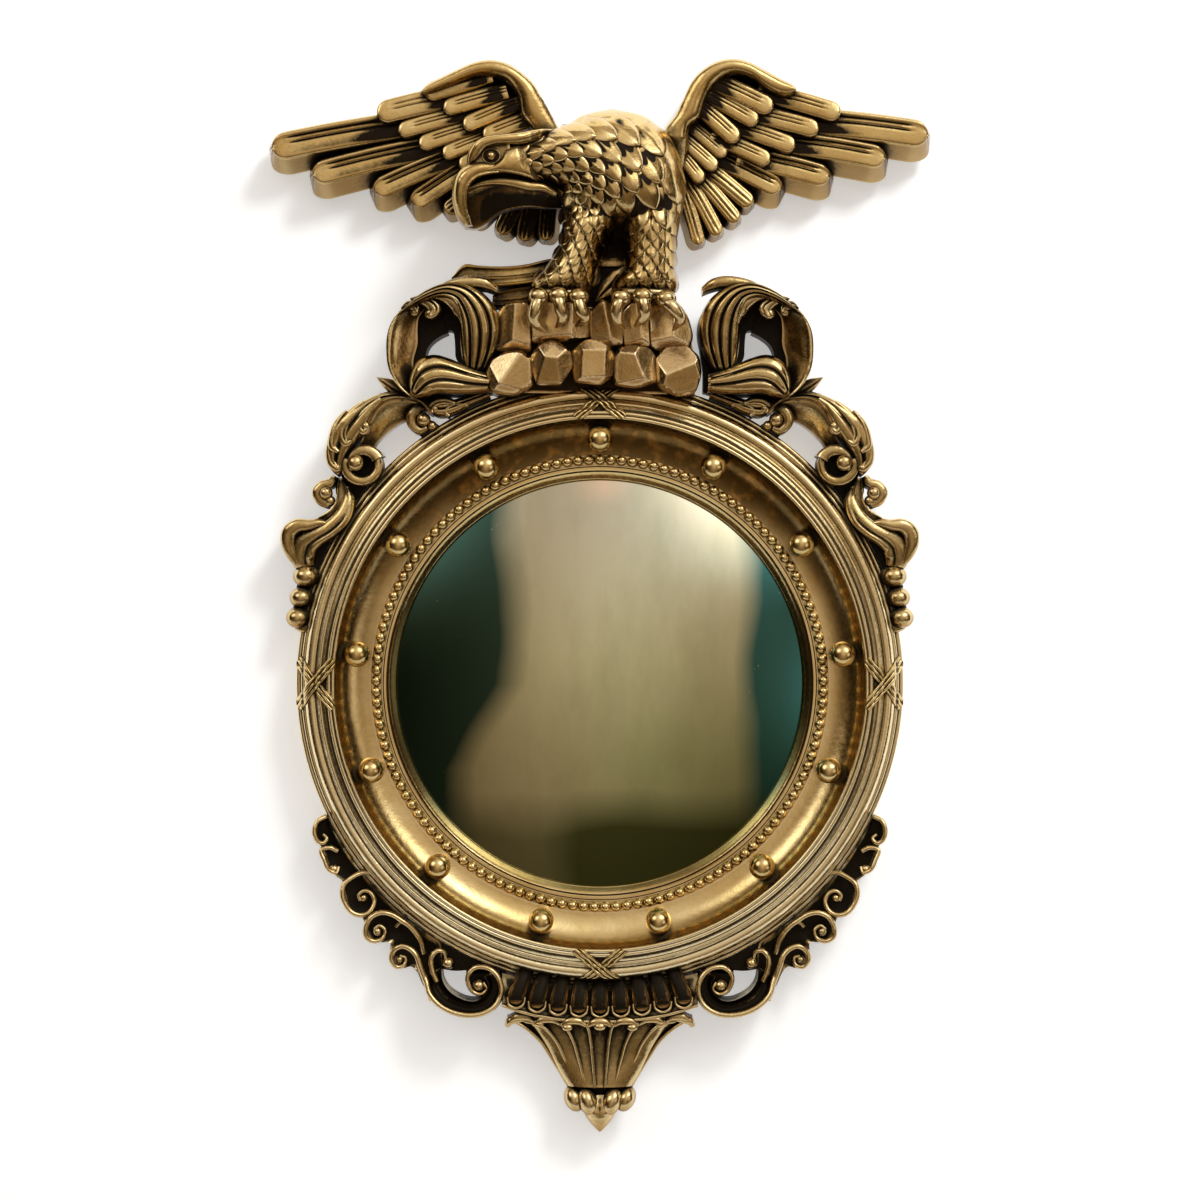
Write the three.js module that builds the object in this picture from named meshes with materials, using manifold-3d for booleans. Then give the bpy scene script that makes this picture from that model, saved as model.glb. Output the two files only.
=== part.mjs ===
// A girandole wall mirror: a round moulded frame with a convex glass, thirteen balls, an eagle
// crest on rocks, leaf scrolls round the rim and a fluted pendant below.
// Millimetres, +Z up. The front faces -Y; the wall side faces +Y. The origin is the centre of
// the glass, on the flat back of the frame. "Height" below means distance in front of that back.
import * as THREE from 'three';
import { mergeVertices } from 'three/addons/utils/BufferGeometryUtils.js';
import { ConvexGeometry } from 'three/addons/geometries/ConvexGeometry.js';
import Module from 'manifold-3d';

const wasm = await Module();
wasm.setup();

// ---------------------------------------------------------------- driving dimensions
const FRAME_OUTER_R = 195;        // outer edge of the round frame
const FRAME_EDGE_H = 11.5;        // height of its plain outer wall
const MOULDING_WIDTH = 26.3;      // outer edge to the lip of the hollow
const LIP_H = 36.4;               // height of the lip, the frame's thickest place
const COVE_WIDTH = 21.5;          // the hollow, from the lip down to the bead seat
const BEAD_SEAT_WIDTH = 8;        // flat seat of the bead strip
const SEAT_H = 17;                // height of that seat
const RABBET_WIDTH = 2.8;         // step behind the seat that takes slip, glass and board
const RABBET_DEPTH = 11.4;
const FIT = 0.3;                  // clearance between pieces that are set into each other

const GLASS_T = 3;                // thickness of the convex glass
const GLASS_RISE = 24;            // how far its centre stands in front of its edge
const BOARD_T = 4.6;              // fibre board behind the glass
const BOARD_GAP = 0.4;            // free space between the board and the edge of the glass
const SLIP_WIDTH = 3.6;           // gilt slip that shows between beads and glass

const BALL_R = 8.25;
const BALL_COUNT = 13;
const BALL_SEAT_ANGLE = 50;       // where on the hollow a ball sits, 0 at the lip, 90 at the beads
const BEAD_PITCH = 6.96;
const BEAD_RISE = 4.6;            // height of a bead over its strip
const TIE_T = 1.8;                // thickness of the crossed ribbons round the frame
const TIE_WIDTH = 6.5;
const TIE_SPREAD = 31;            // distance along the rim between the ends of a cross

const TURN_BUTTON_LENGTH = 32;
const TURN_BUTTON_WIDTH = 12;
const TURN_BUTTON_T = 1.6;
const SCREW_R = 1.75;
const SCREW_HEAD_R = 3.5;
const SCREW_HEAD_T = 1.6;
const SCREW_LENGTH = 7.5;         // what goes into the frame
const STRAP_LENGTH = 32;
const STRAP_WIDTH = 14;
const STRAP_T = 1.2;
const HANGER_Z = 95;              // height of the two hangers above the centre
const WIRE_R = 1.4;               // wire of the D rings
const D_RING_BOW_R = 9;
const D_RING_LEG = 7;             // straight part between its pivot and its bow
const BUMPER_R = 6;
const BUMPER_T = 6.6;             // the wall pads: they set the gap between frame and wall

const LEAN = THREE.MathUtils.degToRad(0.4);   // the carved crest leans this much to the left
const ROUND = 52;                 // sides of the round pieces

// ---------------------------------------------------------------- sizes that follow
const LIP_R = FRAME_OUTER_R - MOULDING_WIDTH;
const COVE_R = LIP_R - COVE_WIDTH;
const SIGHT_R = COVE_R - BEAD_SEAT_WIDTH;
const RABBET_R = SIGHT_R + RABBET_WIDTH;
const GLASS_R = RABBET_R - 2;
const GLASS_EDGE_H = BOARD_T + BOARD_GAP;   // height of the back of the glass at its edge
const SLIP_IN_R = SIGHT_R - FIT - SLIP_WIDTH;
const RIM_DESIGN_R = 195;         // the rim that the carved outlines below are drawn round
const RIM_GROWTH = FRAME_OUTER_R - RIM_DESIGN_R;

// ---------------------------------------------------------------- materials
const finish = (color, roughness, metalness) => new THREE.MeshStandardMaterial({ color, roughness, metalness });
const GOLD = finish(0xb08a45, 0.35, 0.85);
const DARK_GOLD = finish(0x6f5526, 0.45, 0.8);
const BRIGHT_GOLD = finish(0xd8b25c, 0.25, 0.9);
const GLASS = finish(0x6f7458, 0.06, 1.0);
const BOARD = finish(0x6a4a2f, 0.85, 0.0);
const STEEL = finish(0x9a9a96, 0.35, 0.9);
const BRASS = finish(0xb2924c, 0.35, 0.9);
const RUBBER = finish(0x2a2a2a, 0.8, 0.0);

// ---------------------------------------------------------------- outlines
const polar = (r, angle) => [r * Math.sin(angle), r * Math.cos(angle)];
const mirrored = (points) => points.map(([x, ...rest]) => [-x, ...rest]);

// A carved outline keeps its angle round the frame and its distance from the rim.
function onRim(points) {
  return points.map(([x, z, ...rest]) => {
    const r = Math.hypot(x, z);
    const k = (r + RIM_GROWTH) / r;
    return [x * k, z * k, ...rest];
  });
}

// The crest leans a little and rides on top of the frame as a whole.
function onCrest(points) {
  const c = Math.cos(LEAN);
  const s = Math.sin(LEAN);
  return points.map(([x, z, ...rest]) => [x * c - z * s, z * c + x * s + RIM_GROWTH, ...rest]);
}

// The rocks spread with the rim; towards their top they rise with the crest, where the eagle stands.
const ROCK_FOOT_Z = 213;
const ROCK_TOP_Z = 242;
function onRockRim(points) {
  const crest = onCrest(points);
  return onRim(crest.map(([x, z, ...rest]) => [x, z - RIM_GROWTH, ...rest])).map(([x, z, ...rest], i) => {
    const t = THREE.MathUtils.clamp((points[i][1] - ROCK_FOOT_Z) / (ROCK_TOP_Z - ROCK_FOOT_Z), 0, 1);
    return [x, z + (crest[i][1] - z) * t, ...rest];
  });
}

const belowFrame = (points) => points.map(([x, z, ...rest]) => [x, z - RIM_GROWTH, ...rest]);

const signedArea = (points) => THREE.ShapeUtils.area(points.map(([x, z]) => new THREE.Vector2(x, z)));
const counterClockwise = (points) => (signedArea(points) > 0 ? points : [...points].reverse());

// The same outline, moved outward by d along the bisector at each corner.
function grown(outline, d) {
  const points = counterClockwise(outline);
  return points.map((p, i) => {
    const before = points[(i + points.length - 1) % points.length];
    const after = points[(i + 1) % points.length];
    const a = new THREE.Vector2(p[0] - before[0], p[1] - before[1]).normalize();
    const b = new THREE.Vector2(after[0] - p[0], after[1] - p[1]).normalize();
    const bisector = new THREE.Vector2(a.y + b.y, -a.x - b.x).normalize();
    const reach = d / Math.max(0.5, bisector.dot(new THREE.Vector2(a.y, -a.x)));
    return [p[0] + bisector.x * reach, p[1] + bisector.y * reach];
  });
}

// ---------------------------------------------------------------- solids
const triangleVolume = (p, a, b, c) => (
  p[a] * (p[b + 1] * p[c + 2] - p[b + 2] * p[c + 1])
  - p[a + 1] * (p[b] * p[c + 2] - p[b + 2] * p[c])
  + p[a + 2] * (p[b] * p[c + 1] - p[b + 1] * p[c])
) / 6;

// Welds a geometry's corners, drops its empty triangles and turns its faces outward.
function solid(geometry) {
  const bare = new THREE.BufferGeometry();
  bare.setAttribute('position', geometry.getAttribute('position'));
  if (geometry.index) bare.setIndex(geometry.index);
  const welded = mergeVertices(bare, 1e-4);
  const position = new Float32Array(welded.attributes.position.array);
  const corners = welded.index.array;
  const triangles = [];
  let volume = 0;
  for (let i = 0; i < corners.length; i += 3) {
    const [a, b, c] = [corners[i], corners[i + 1], corners[i + 2]];
    if (a === b || b === c || a === c) continue;
    triangles.push(a, b, c);
    volume += triangleVolume(position, 3 * a, 3 * b, 3 * c);
  }
  if (volume < 0) triangles.reverse();
  return new wasm.Manifold(new wasm.Mesh({ numProp: 3, vertProperties: position, triVerts: new Uint32Array(triangles) }));
}

// A slab between two outlines with the same number of corners: rear at its back, face in front.
// Both lids use the same triangles, so they always fit the sides.
function prism(rear, face, back, front) {
  const n = rear.length;
  const position = [];
  rear.forEach(([x, z]) => position.push(x, -back, z));
  face.forEach(([x, z]) => position.push(x, -front, z));
  const index = [];
  for (let i = 0; i < n; i += 1) {
    const j = (i + 1) % n;
    index.push(i, j, n + i, j, n + j, n + i);
  }
  const flat = rear.map(([x, z]) => new THREE.Vector2(x, z));
  THREE.ShapeUtils.triangulateShape(flat, []).forEach(([a, b, c]) => {
    index.push(a, c, b, n + a, n + b, n + c);
  });
  const geometry = new THREE.BufferGeometry();
  geometry.setAttribute('position', new THREE.Float32BufferAttribute(position, 3));
  geometry.setIndex(index);
  return solid(geometry);
}

// A slab with drafted sides: the outline at its back, drawn in by draft at its front.
function slab(outline, back, front, draft = 0) {
  const rear = counterClockwise(outline);
  return prism(rear, draft ? grown(rear, -draft) : rear, back, front);
}

// A turned piece about the axis through the glass: profile points are [radius, height].
function turned(profile, sides = ROUND) {
  const points = profile.map(([r, h]) => new THREE.Vector2(r, h));
  return solid(new THREE.LatheGeometry(points, sides).rotateX(Math.PI));
}

const closedProfile = (points) => [...points, points[0]];

function arc(centreR, centreH, a, b, from, to, steps) {
  return Array.from({ length: steps + 1 }, (_, i) => {
    const t = THREE.MathUtils.degToRad(from + ((to - from) * i) / steps);
    return [centreR + a * Math.cos(t), centreH + b * Math.sin(t)];
  });
}

// Rings of points joined into one skin, with a flat fan over each end.
function skin(rings) {
  const n = rings[0].length;
  const position = rings.flat(2);
  const index = [];
  for (let i = 0; i + 1 < rings.length; i += 1) {
    for (let j = 0; j < n; j += 1) {
      const k = (j + 1) % n;
      index.push(i * n + j, i * n + k, (i + 1) * n + j);
      index.push(i * n + k, (i + 1) * n + k, (i + 1) * n + j);
    }
  }
  const last = (rings.length - 1) * n;
  for (let j = 1; j + 1 < n; j += 1) {
    index.push(0, j + 1, j);
    index.push(last, last + j, last + j + 1);
  }
  const geometry = new THREE.BufferGeometry();
  geometry.setAttribute('position', new THREE.Float32BufferAttribute(position, 3));
  geometry.setIndex(index);
  return solid(geometry);
}

function interpolated(stations, steps) {
  const curve = new THREE.CatmullRomCurve3(stations.map(([x, z]) => new THREE.Vector3(x, z, 0)), false, 'centripetal');
  return Array.from({ length: steps + 1 }, (_, i) => {
    const t = i / steps;
    const s = t * (stations.length - 1);
    const a = stations[Math.floor(s)];
    const b = stations[Math.min(Math.floor(s) + 1, stations.length - 1)];
    const rest = a.slice(2).map((v, j) => v + (b[j + 2] - v) * (s - Math.floor(s)));
    return { at: curve.getPoint(t), along: curve.getTangent(t), rest };
  });
}

// A carved band along a path in the plane of the frame. Each station is
// [x, z, half width, back, front]; the section is a slab with rounded shoulders.
const BAND_SECTION = [[-1, 0], [-0.85, 0.75], [0, 1], [0.85, 0.75], [1, 0]];
function band(stations, steps, section = BAND_SECTION) {
  const rings = interpolated(stations, steps).map(({ at, along, rest: [half, back, front] }) => (
    section.map(([u, v]) => [at.x - along.y * u * half, -(back + v * (front - back)), at.y + along.x * u * half])));
  return skin(rings);
}

// A full body along such a path: the section is an ellipse.
const ELLIPSE_SECTION = Array.from({ length: 10 }, (_, i) => {
  const t = (i * Math.PI) / 5;
  return [-Math.cos(t), 0.5 + 0.5 * Math.sin(t)];
});
const limb = (stations, steps) => band(stations, steps, ELLIPSE_SECTION);

function ball(x, height, z, r, sides = 8) {
  return solid(new THREE.SphereGeometry(r, sides, Math.round(sides * 0.75)).translate(x, -height, z));
}

function rod(x, height, z, r, length, sides = 10) {
  return solid(new THREE.CylinderGeometry(r, r, length, sides).translate(x, -height, z));
}

const joined = (solids) => solids.reduce((a, b) => a.add(b));

function mesh(name, body, material) {
  const { vertProperties, triVerts } = body.getMesh();
  const geometry = new THREE.BufferGeometry();
  geometry.setAttribute('position', new THREE.Float32BufferAttribute(vertProperties, 3));
  geometry.setIndex(new THREE.BufferAttribute(new Uint32Array(triVerts), 1));
  geometry.computeVertexNormals();
  const node = new THREE.Mesh(geometry, material);
  node.name = name;
  return node;
}

// ---------------------------------------------------------------- the round frame
// The moulded front, from the outer wall over the reeds, the big torus and the lip.
const reed = (inset, height, r) => arc(FRAME_OUTER_R - inset, height, r, r, 10, 100, 1);
const mouldedFront = [
  [FRAME_OUTER_R, 1],
  [FRAME_OUTER_R, FRAME_EDGE_H],
  ...reed(2.4, FRAME_EDGE_H + 2, 1.6),
  ...reed(5.6, FRAME_EDGE_H + 5.5, 1.8),
  ...arc(FRAME_OUTER_R - 11.2, FRAME_EDGE_H + 11.5, 5.4, 6, 0, 105, 2),
  [FRAME_OUTER_R - 16.5, LIP_H - 6.4],
  [FRAME_OUTER_R - 21, LIP_H - 3.6],
  ...arc(LIP_R + 1.8, LIP_H - 1.8, 1.8, 1.8, 70, 140, 1),
];
const hollow = arc(COVE_R, LIP_H - 0.9, COVE_WIDTH, LIP_H - 0.9 - SEAT_H, 0, -90, 5);

function pilotHoles() {
  const depth = SCREW_LENGTH + FIT;
  return joined([...turnButtonPlaces(), ...strapScrewPlaces()].map(({ x, z }) => (
    rod(x, depth / 2 - 0.5, z, SCREW_R + FIT, depth + 1))));
}

function frameRing() {
  const section = closedProfile([
    [RABBET_R, 0], [FRAME_OUTER_R - 1, 0], ...mouldedFront, ...hollow,
    [SIGHT_R, SEAT_H], [SIGHT_R, RABBET_DEPTH], [RABBET_R, RABBET_DEPTH],
  ]);
  return mesh('frame_ring', turned(section).subtract(pilotHoles()), GOLD);
}

// Everything carved stands outside this cylinder, which clears the frame's outer wall.
const frameClearance = turned([[0, -10], [FRAME_OUTER_R + FIT, -10], [FRAME_OUTER_R + FIT, 90], [0, 90]]);

// A ribbon is the frame's own section, lifted off it, cut to two crossing straps.
function profileLifted(profile, lift) {
  const step = (i) => {
    const [a, b] = [profile[Math.max(0, i)], profile[Math.min(profile.length - 1, i + 1)]];
    return new THREE.Vector2(b[1] - a[1], a[0] - b[0]).normalize();
  };
  return profile.map(([r, h], i) => {
    const before = step(i === 0 ? 0 : i - 1);
    const normal = before.clone().add(step(Math.min(i, profile.length - 2))).normalize();
    const reach = lift / Math.max(0.6, normal.dot(before));
    return [r + normal.x * reach, h + normal.y * reach];
  });
}

function ribbonTie(name, angle) {
  const under = mouldedFront.slice(1);
  const shell = turned(closedProfile([...profileLifted(under, FIT), ...profileLifted(under, FIT + TIE_T).reverse()]));
  const outer = FRAME_OUTER_R + 6;
  const inner = LIP_R - 6;
  const straps = [1, -1].map((side) => {
    const [x0, z0] = polar(inner, (-side * TIE_SPREAD) / 2 / inner);
    const [x1, z1] = polar(outer, (side * TIE_SPREAD) / 2 / outer);
    const along = new THREE.Vector2(x1 - x0, z1 - z0).normalize().multiplyScalar(TIE_WIDTH / 2);
    return slab([
      [x0 - along.y, z0 + along.x], [x0 + along.y, z0 - along.x],
      [x1 + along.y, z1 - along.x], [x1 - along.y, z1 + along.x],
    ], 0, LIP_H + 10);
  });
  const withinRim = turned([[0, 0], [FRAME_OUTER_R, 0], [FRAME_OUTER_R, LIP_H + 10], [0, LIP_H + 10]]);
  const cross = shell.intersect(joined(straps)).intersect(withinRim).rotate([0, THREE.MathUtils.radToDeg(angle), 0]);
  return mesh(name, cross, BRIGHT_GOLD);
}

// ---------------------------------------------------------------- beads, balls, glass, board
// The bead strip is one moulded ring whose height and width swell at every bead.
function beadRing() {
  const middle = (SIGHT_R + COVE_R) / 2;
  const count = Math.round((2 * Math.PI * middle) / BEAD_PITCH);
  const half = BEAD_SEAT_WIDTH / 2 - 2 * FIT;
  const base = SEAT_H + FIT;
  const position = [];
  const index = [];
  const section = [[-1, 0], [-0.5, 1], [0.5, 1], [1, 0]];
  const n = section.length;
  for (let i = 0; i < 2 * count; i += 1) {
    const swell = i % 2 === 0 ? 1 : 0.45;
    section.forEach(([u, v]) => {
      const [x, z] = polar(middle + u * half * (v === 0 ? 1 : swell), (i * Math.PI) / count);
      position.push(x, -(base + v * BEAD_RISE * swell), z);
    });
    const next = ((i + 1) % (2 * count)) * n;
    for (let j = 0; j < n; j += 1) {
      const k = (j + 1) % n;
      index.push(i * n + j, next + j, i * n + k, i * n + k, next + j, next + k);
    }
  }
  const geometry = new THREE.BufferGeometry();
  geometry.setAttribute('position', new THREE.Float32BufferAttribute(position, 3));
  geometry.setIndex(index);
  return mesh('bead_ring', solid(geometry), BRIGHT_GOLD);
}

// A ball touches the hollow at BALL_SEAT_ANGLE; its centre lies on the hollow's normal there.
function ballPlace() {
  const t = THREE.MathUtils.degToRad(BALL_SEAT_ANGLE);
  const rise = LIP_H - 0.9 - SEAT_H;
  const foot = [COVE_R + COVE_WIDTH * Math.cos(t), LIP_H - 0.9 - rise * Math.sin(t)];
  const normal = new THREE.Vector2(-Math.cos(t) / COVE_WIDTH, Math.sin(t) / rise).normalize();
  return [foot[0] + normal.x * (BALL_R + 1.2 * FIT), foot[1] + normal.y * (BALL_R + 1.2 * FIT)];
}

function balls() {
  const [r, height] = ballPlace();
  return Array.from({ length: BALL_COUNT }, (_, i) => {
    const [x, z] = polar(r, (2 * Math.PI * i) / BALL_COUNT);
    return mesh(`ball_${String(i + 1).padStart(2, '0')}`, ball(x, height, z, BALL_R), BRIGHT_GOLD);
  });
}

// Height of the front of the glass at radius r: a sphere that rises GLASS_RISE over its edge.
const GLASS_CURVE_R = (GLASS_R ** 2 + GLASS_RISE ** 2) / (2 * GLASS_RISE);
const glassFront = (r) => (
  GLASS_EDGE_H + GLASS_T + Math.sqrt(GLASS_CURVE_R ** 2 - r ** 2) - (GLASS_CURVE_R - GLASS_RISE));

function mirrorGlass() {
  const steps = 4;
  const radii = Array.from({ length: steps + 1 }, (_, i) => (GLASS_R * i) / steps);
  const front = radii.map((r) => [r, glassFront(r)]);
  const back = radii.map((r) => [r, glassFront(r) - GLASS_T]).reverse();
  return mesh('mirror_glass', turned([...front, ...back]), GLASS);
}

function sightSlip() {
  const flange = RABBET_R - 2 * FIT;
  return mesh('sight_slip', turned(closedProfile([
    [SLIP_IN_R, glassFront(SLIP_IN_R) + FIT],
    [flange, glassFront(GLASS_R) + FIT + 1],
    [flange, RABBET_DEPTH - FIT],
    [SIGHT_R - FIT, RABBET_DEPTH - FIT],
    [SIGHT_R - FIT, SEAT_H + 1.2],
    [SLIP_IN_R, SEAT_H + 0.2],
  ])), BRIGHT_GOLD);
}

function backPanel() {
  const r = RABBET_R - 2 * FIT;
  return mesh('back_panel', turned([[0, 0], [r, 0], [r, BOARD_T], [0, BOARD_T]]), BOARD);
}

// ---------------------------------------------------------------- fastenings on the back
const BUTTON_R = RABBET_R + 7;    // the turn buttons pivot this far from the centre
const BUTTON_NAMES = ['top', 'right', 'bottom', 'left'];
function turnButtonPlaces() {
  return BUTTON_NAMES.map((name, i) => {
    const [x, z] = polar(BUTTON_R, (i * Math.PI) / 2);
    return { name, x, z, angle: (i * Math.PI) / 2 };
  });
}

// The hangers lie level on the frame's flat back, their rings towards each other.
const annulusX = (r) => Math.sqrt(r ** 2 - HANGER_Z ** 2);
const HANGER_X = (annulusX(RABBET_R) + annulusX(FRAME_OUTER_R)) / 2 - 6;
const EYE_R = WIRE_R + FIT + 0.1 + STRAP_T;
const PIVOT_BACK = FIT + EYE_R;   // how far the ring's pivot lies behind the frame
const STRAP_SCREWS = [{ name: 'inner', along: 8 }, { name: 'outer', along: 24 }];
function strapScrewPlaces() {
  return [-1, 1].flatMap((side) => STRAP_SCREWS.map(({ name, along }) => (
    { name: `${side < 0 ? 'left' : 'right'}_${name}`, x: side * (HANGER_X + along), z: HANGER_Z })));
}

// A pan-head wood screw whose head bears on a plate that is seat behind the frame's back.
function screw(name, { x, z }, seat) {
  const profile = [
    [0, -SCREW_LENGTH], [SCREW_R, -SCREW_LENGTH + 2], [SCREW_R, seat + FIT],
    [SCREW_HEAD_R, seat + FIT], [SCREW_HEAD_R, seat + FIT + 0.6 * SCREW_HEAD_T],
    [SCREW_HEAD_R * 0.6, seat + FIT + SCREW_HEAD_T], [0, seat + FIT + SCREW_HEAD_T],
  ].map(([r, y]) => new THREE.Vector2(r, y));
  return mesh(name, solid(new THREE.LatheGeometry(profile, 8).translate(x, 0, z)), STEEL);
}

// A flat plate with a round end about its screw; it reaches inward over the board.
function turnButton({ name, x, z, angle }) {
  const half = TURN_BUTTON_WIDTH / 2;
  const reach = TURN_BUTTON_LENGTH - 2 * half;
  const outline = [
    ...Array.from({ length: 7 }, (_, i) => polar(half, -Math.PI / 2 + (i * Math.PI) / 6)),
    ...Array.from({ length: 7 }, (_, i) => polar(half, Math.PI / 2 + (i * Math.PI) / 6)).map(([u, v]) => [u, v - reach]),
  ];
  const plate = slab(outline, -(FIT + TURN_BUTTON_T), -FIT)
    .subtract(rod(0, -FIT, 0, SCREW_R + FIT, 3 * TURN_BUTTON_T))
    .rotate([0, THREE.MathUtils.radToDeg(angle), 0])
    .translate([x, 0, z]);
  return mesh(`turn_button_${name}`, plate, BRASS);
}

function hangerStrap(name, side) {
  const plate = solid(new THREE.BoxGeometry(STRAP_LENGTH, STRAP_T, STRAP_WIDTH)
    .translate(STRAP_LENGTH / 2, FIT + STRAP_T / 2, 0));
  const eye = (r, length) => solid(new THREE.CylinderGeometry(r, r, length, 12)
    .rotateX(Math.PI / 2).translate(0, PIVOT_BACK, 0));
  const holes = STRAP_SCREWS.map(({ along }) => rod(along, -FIT, 0, SCREW_R + FIT, 4 * STRAP_T));
  const body = plate.add(eye(EYE_R, STRAP_WIDTH))
    .subtract(eye(EYE_R - STRAP_T, STRAP_WIDTH + 2))
    .subtract(joined(holes))
    .scale([side, 1, 1])
    .translate([side * HANGER_X, 0, HANGER_Z]);
  return mesh(name, body, STEEL);
}

// A closed wire: a straight bar in the strap's eye, two legs and a round bow.
function dRing(name, side) {
  const corner = (u, v) => new THREE.Vector3(-side * u, 0, v);
  const bow = Array.from({ length: 9 }, (_, i) => {
    const [w, u] = polar(D_RING_BOW_R, -Math.PI / 2 + (i * Math.PI) / 8);
    return corner(D_RING_LEG + u, w);
  });
  const loop = [...bow, corner(1, D_RING_BOW_R), corner(0, D_RING_BOW_R - 1), corner(0, -D_RING_BOW_R + 1), corner(1, -D_RING_BOW_R)];
  const wire = ringOfWire(loop, WIRE_R, 8);
  return mesh(name, wire.translate([side * HANGER_X, PIVOT_BACK, HANGER_Z]), STEEL);
}

// A wire of round section through the corners of a closed flat loop, mitred at each corner.
function ringOfWire(loop, r, sides) {
  const position = [];
  const index = [];
  const n = loop.length;
  loop.forEach((p, i) => {
    const a = p.clone().sub(loop[(i + n - 1) % n]).normalize();
    const b = loop[(i + 1) % n].clone().sub(p).normalize();
    const across = a.clone().add(b).normalize().cross(new THREE.Vector3(0, 1, 0));
    const mitre = 1 / Math.sqrt((1 + a.dot(b)) / 2);
    for (let j = 0; j < sides; j += 1) {
      const t = ((j + 0.5) * 2 * Math.PI) / sides;
      const q = p.clone().addScaledVector(across, mitre * r * Math.cos(t));
      position.push(q.x, r * Math.sin(t), q.z);
      const k = (j + 1) % sides;
      const next = ((i + 1) % n) * sides;
      index.push(i * sides + j, next + j, i * sides + k, i * sides + k, next + j, next + k);
    }
  });
  const geometry = new THREE.BufferGeometry();
  geometry.setAttribute('position', new THREE.Float32BufferAttribute(position, 3));
  geometry.setIndex(index);
  return solid(geometry);
}

function bumper(name, side) {
  const [x, z] = polar((RABBET_R + FRAME_OUTER_R) / 2, Math.PI - side * 0.365);
  return mesh(name, rod(x, -(FIT + BUMPER_T / 2), z, BUMPER_R, BUMPER_T, 16), RUBBER);
}

// ---------------------------------------------------------------- rocks
// Each rock is [outline, back, front]: a convex stone with a smaller cut face in front.
const ROCKS = [
  [[[-71, 199], [-66, 207], [-57, 212], [-44, 210], [-42, 204], [-42, 189], [-52, 184], [-68, 186]], 4, 41],
  [[[-43, 204], [-36, 213], [-27, 216], [-18, 213], [-15, 205], [-18, 194], [-28, 190], [-41, 189]], 4, 44],
  [[[-17, 209], [-8, 217], [4, 215], [10, 206], [10, 195], [3, 191], [-15, 191]], 4, 43],
  [[[9, 205], [15, 213], [26, 213], [35, 209], [38, 201], [37, 191], [11, 190]], 4, 41],
  [[[36, 200], [45, 211], [56, 210], [63, 205], [65, 196], [64, 185], [50, 183], [37, 189]], 4, 43],
  [[[-64, 212], [-65, 233], [-60, 243], [-43, 243], [-41, 216], [-52, 209]], 4, 48],
  [[[-43, 213], [-43, 243], [-3, 243], [-2, 220], [-15, 214], [-30, 214]], 4, 50],
  [[[-5, 214], [-5, 243], [9, 243], [18, 224], [17, 210], [2, 213]], 4, 48],
  [[[14, 210], [14, 243], [34, 243], [34, 212]], 4, 50],
  [[[30, 209], [32, 243], [50, 243], [58, 231], [59, 213], [45, 206]], 4, 50],
].map(([outline, back, front]) => [onRockRim(outline), back, front]);
const ROCK_FOOTPRINT = onRockRim([
  [-72, 184], [-72, 206], [-66, 213], [-66, 240], [-62, 242.5], [50, 242.5], [60, 234], [61, 213], [66, 207], [66, 181],
]);

function rock([outline, back, front]) {
  const centre = new THREE.Vector2();
  outline.forEach(([x, z]) => centre.add(new THREE.Vector2(x, z).divideScalar(outline.length)));
  const ring = (scale, h) => outline.map(([x, z]) => (
    new THREE.Vector3(centre.x + (x - centre.x) * scale, -h, centre.y + (z - centre.y) * scale)));
  return solid(new ConvexGeometry([...ring(1, back), ...ring(1, front - 12), ...ring(0.55, front)]));
}

const RAISED_TOP = 90;            // higher than any carving, for cutting clearances
const clearOf = (outline, from = -1) => slab(grown(outline, FIT), from, RAISED_TOP);

function rockBase() {
  const body = joined(ROCKS.map(rock)).intersect(slab(ROCK_FOOTPRINT, 0, RAISED_TOP)).subtract(frameClearance);
  return mesh('rock_base', body, DARK_GOLD);
}

// ---------------------------------------------------------------- eagle
const BODY_BACK = 26;             // the flat back of the eagle, where wings and tail are let in
const CLAW_H = 50.3;              // the talons lie in front of the rocks from this height
const BODY_FOOT_Z = 243;
const BODY_FOOTPRINT = onCrest([
  [-22, 352], [0, 359], [10, 361], [20, 360], [30, 356], [38, 350], [46, 344], [53, 335], [57, 320], [58, 300],
  [57, 280], [53, 268], [51, 255], [54, BODY_FOOT_Z], [-50, BODY_FOOT_Z], [-47, 252], [-33, 262], [-24, 275],
  [-22, 283], [-26, 298], [-38, 309], [-55, 311], [-70, 308], [-77, 306], [-78, 290], [-81, 285], [-86, 289],
  [-90, 300], [-91, 309], [-88, 318], [-80, 330], [-77, 338], [-70, 342], [-60, 343], [-48, 345], [-35, 349],
]);
const TRUNK_BACK = [
  [-22, 351], [0, 358], [10, 360], [20, 359], [30, 355], [38, 349], [46, 343], [52, 335], [56, 320], [57, 300],
  [56, 280], [52, 268], [46, 262], [-18, 262], [-21, 275],
];
const BODY_PARTS = {
  trunk: [[12, 363, 4, 34, 44], [11, 352, 29, 24, 60], [12, 336, 43, 22, 70], [14, 318, 45, 20, 75],
    [17, 298, 42, 20, 72], [17, 280, 41, 22, 64], [16, 268, 36, 24, 54]],
  neck: [[14, 330, 26, 24, 68], [-20, 331, 21, 24, 72], [-45, 329, 17, 26, 74], [-65, 326, 16, 28, 74], [-80, 322, 12, 34, 68]],
  beak: [[-74, 322, 13, 34, 70], [-84, 312, 9, 38, 64], [-87, 299, 6, 42, 60], [-81, 285, 2, 46, 54]],
  leg_left: [[-8, 292, 22, 24, 66], [-13, 272, 19, 24, 64], [-20, 256, 18, 24, 62], [-24, 242, 25, 24, 62]],
  leg_right: [[36, 292, 22, 24, 66], [35, 272, 17, 24, 64], [33, 256, 18, 24, 62], [30, 242, 22, 24, 62]],
};

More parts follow.
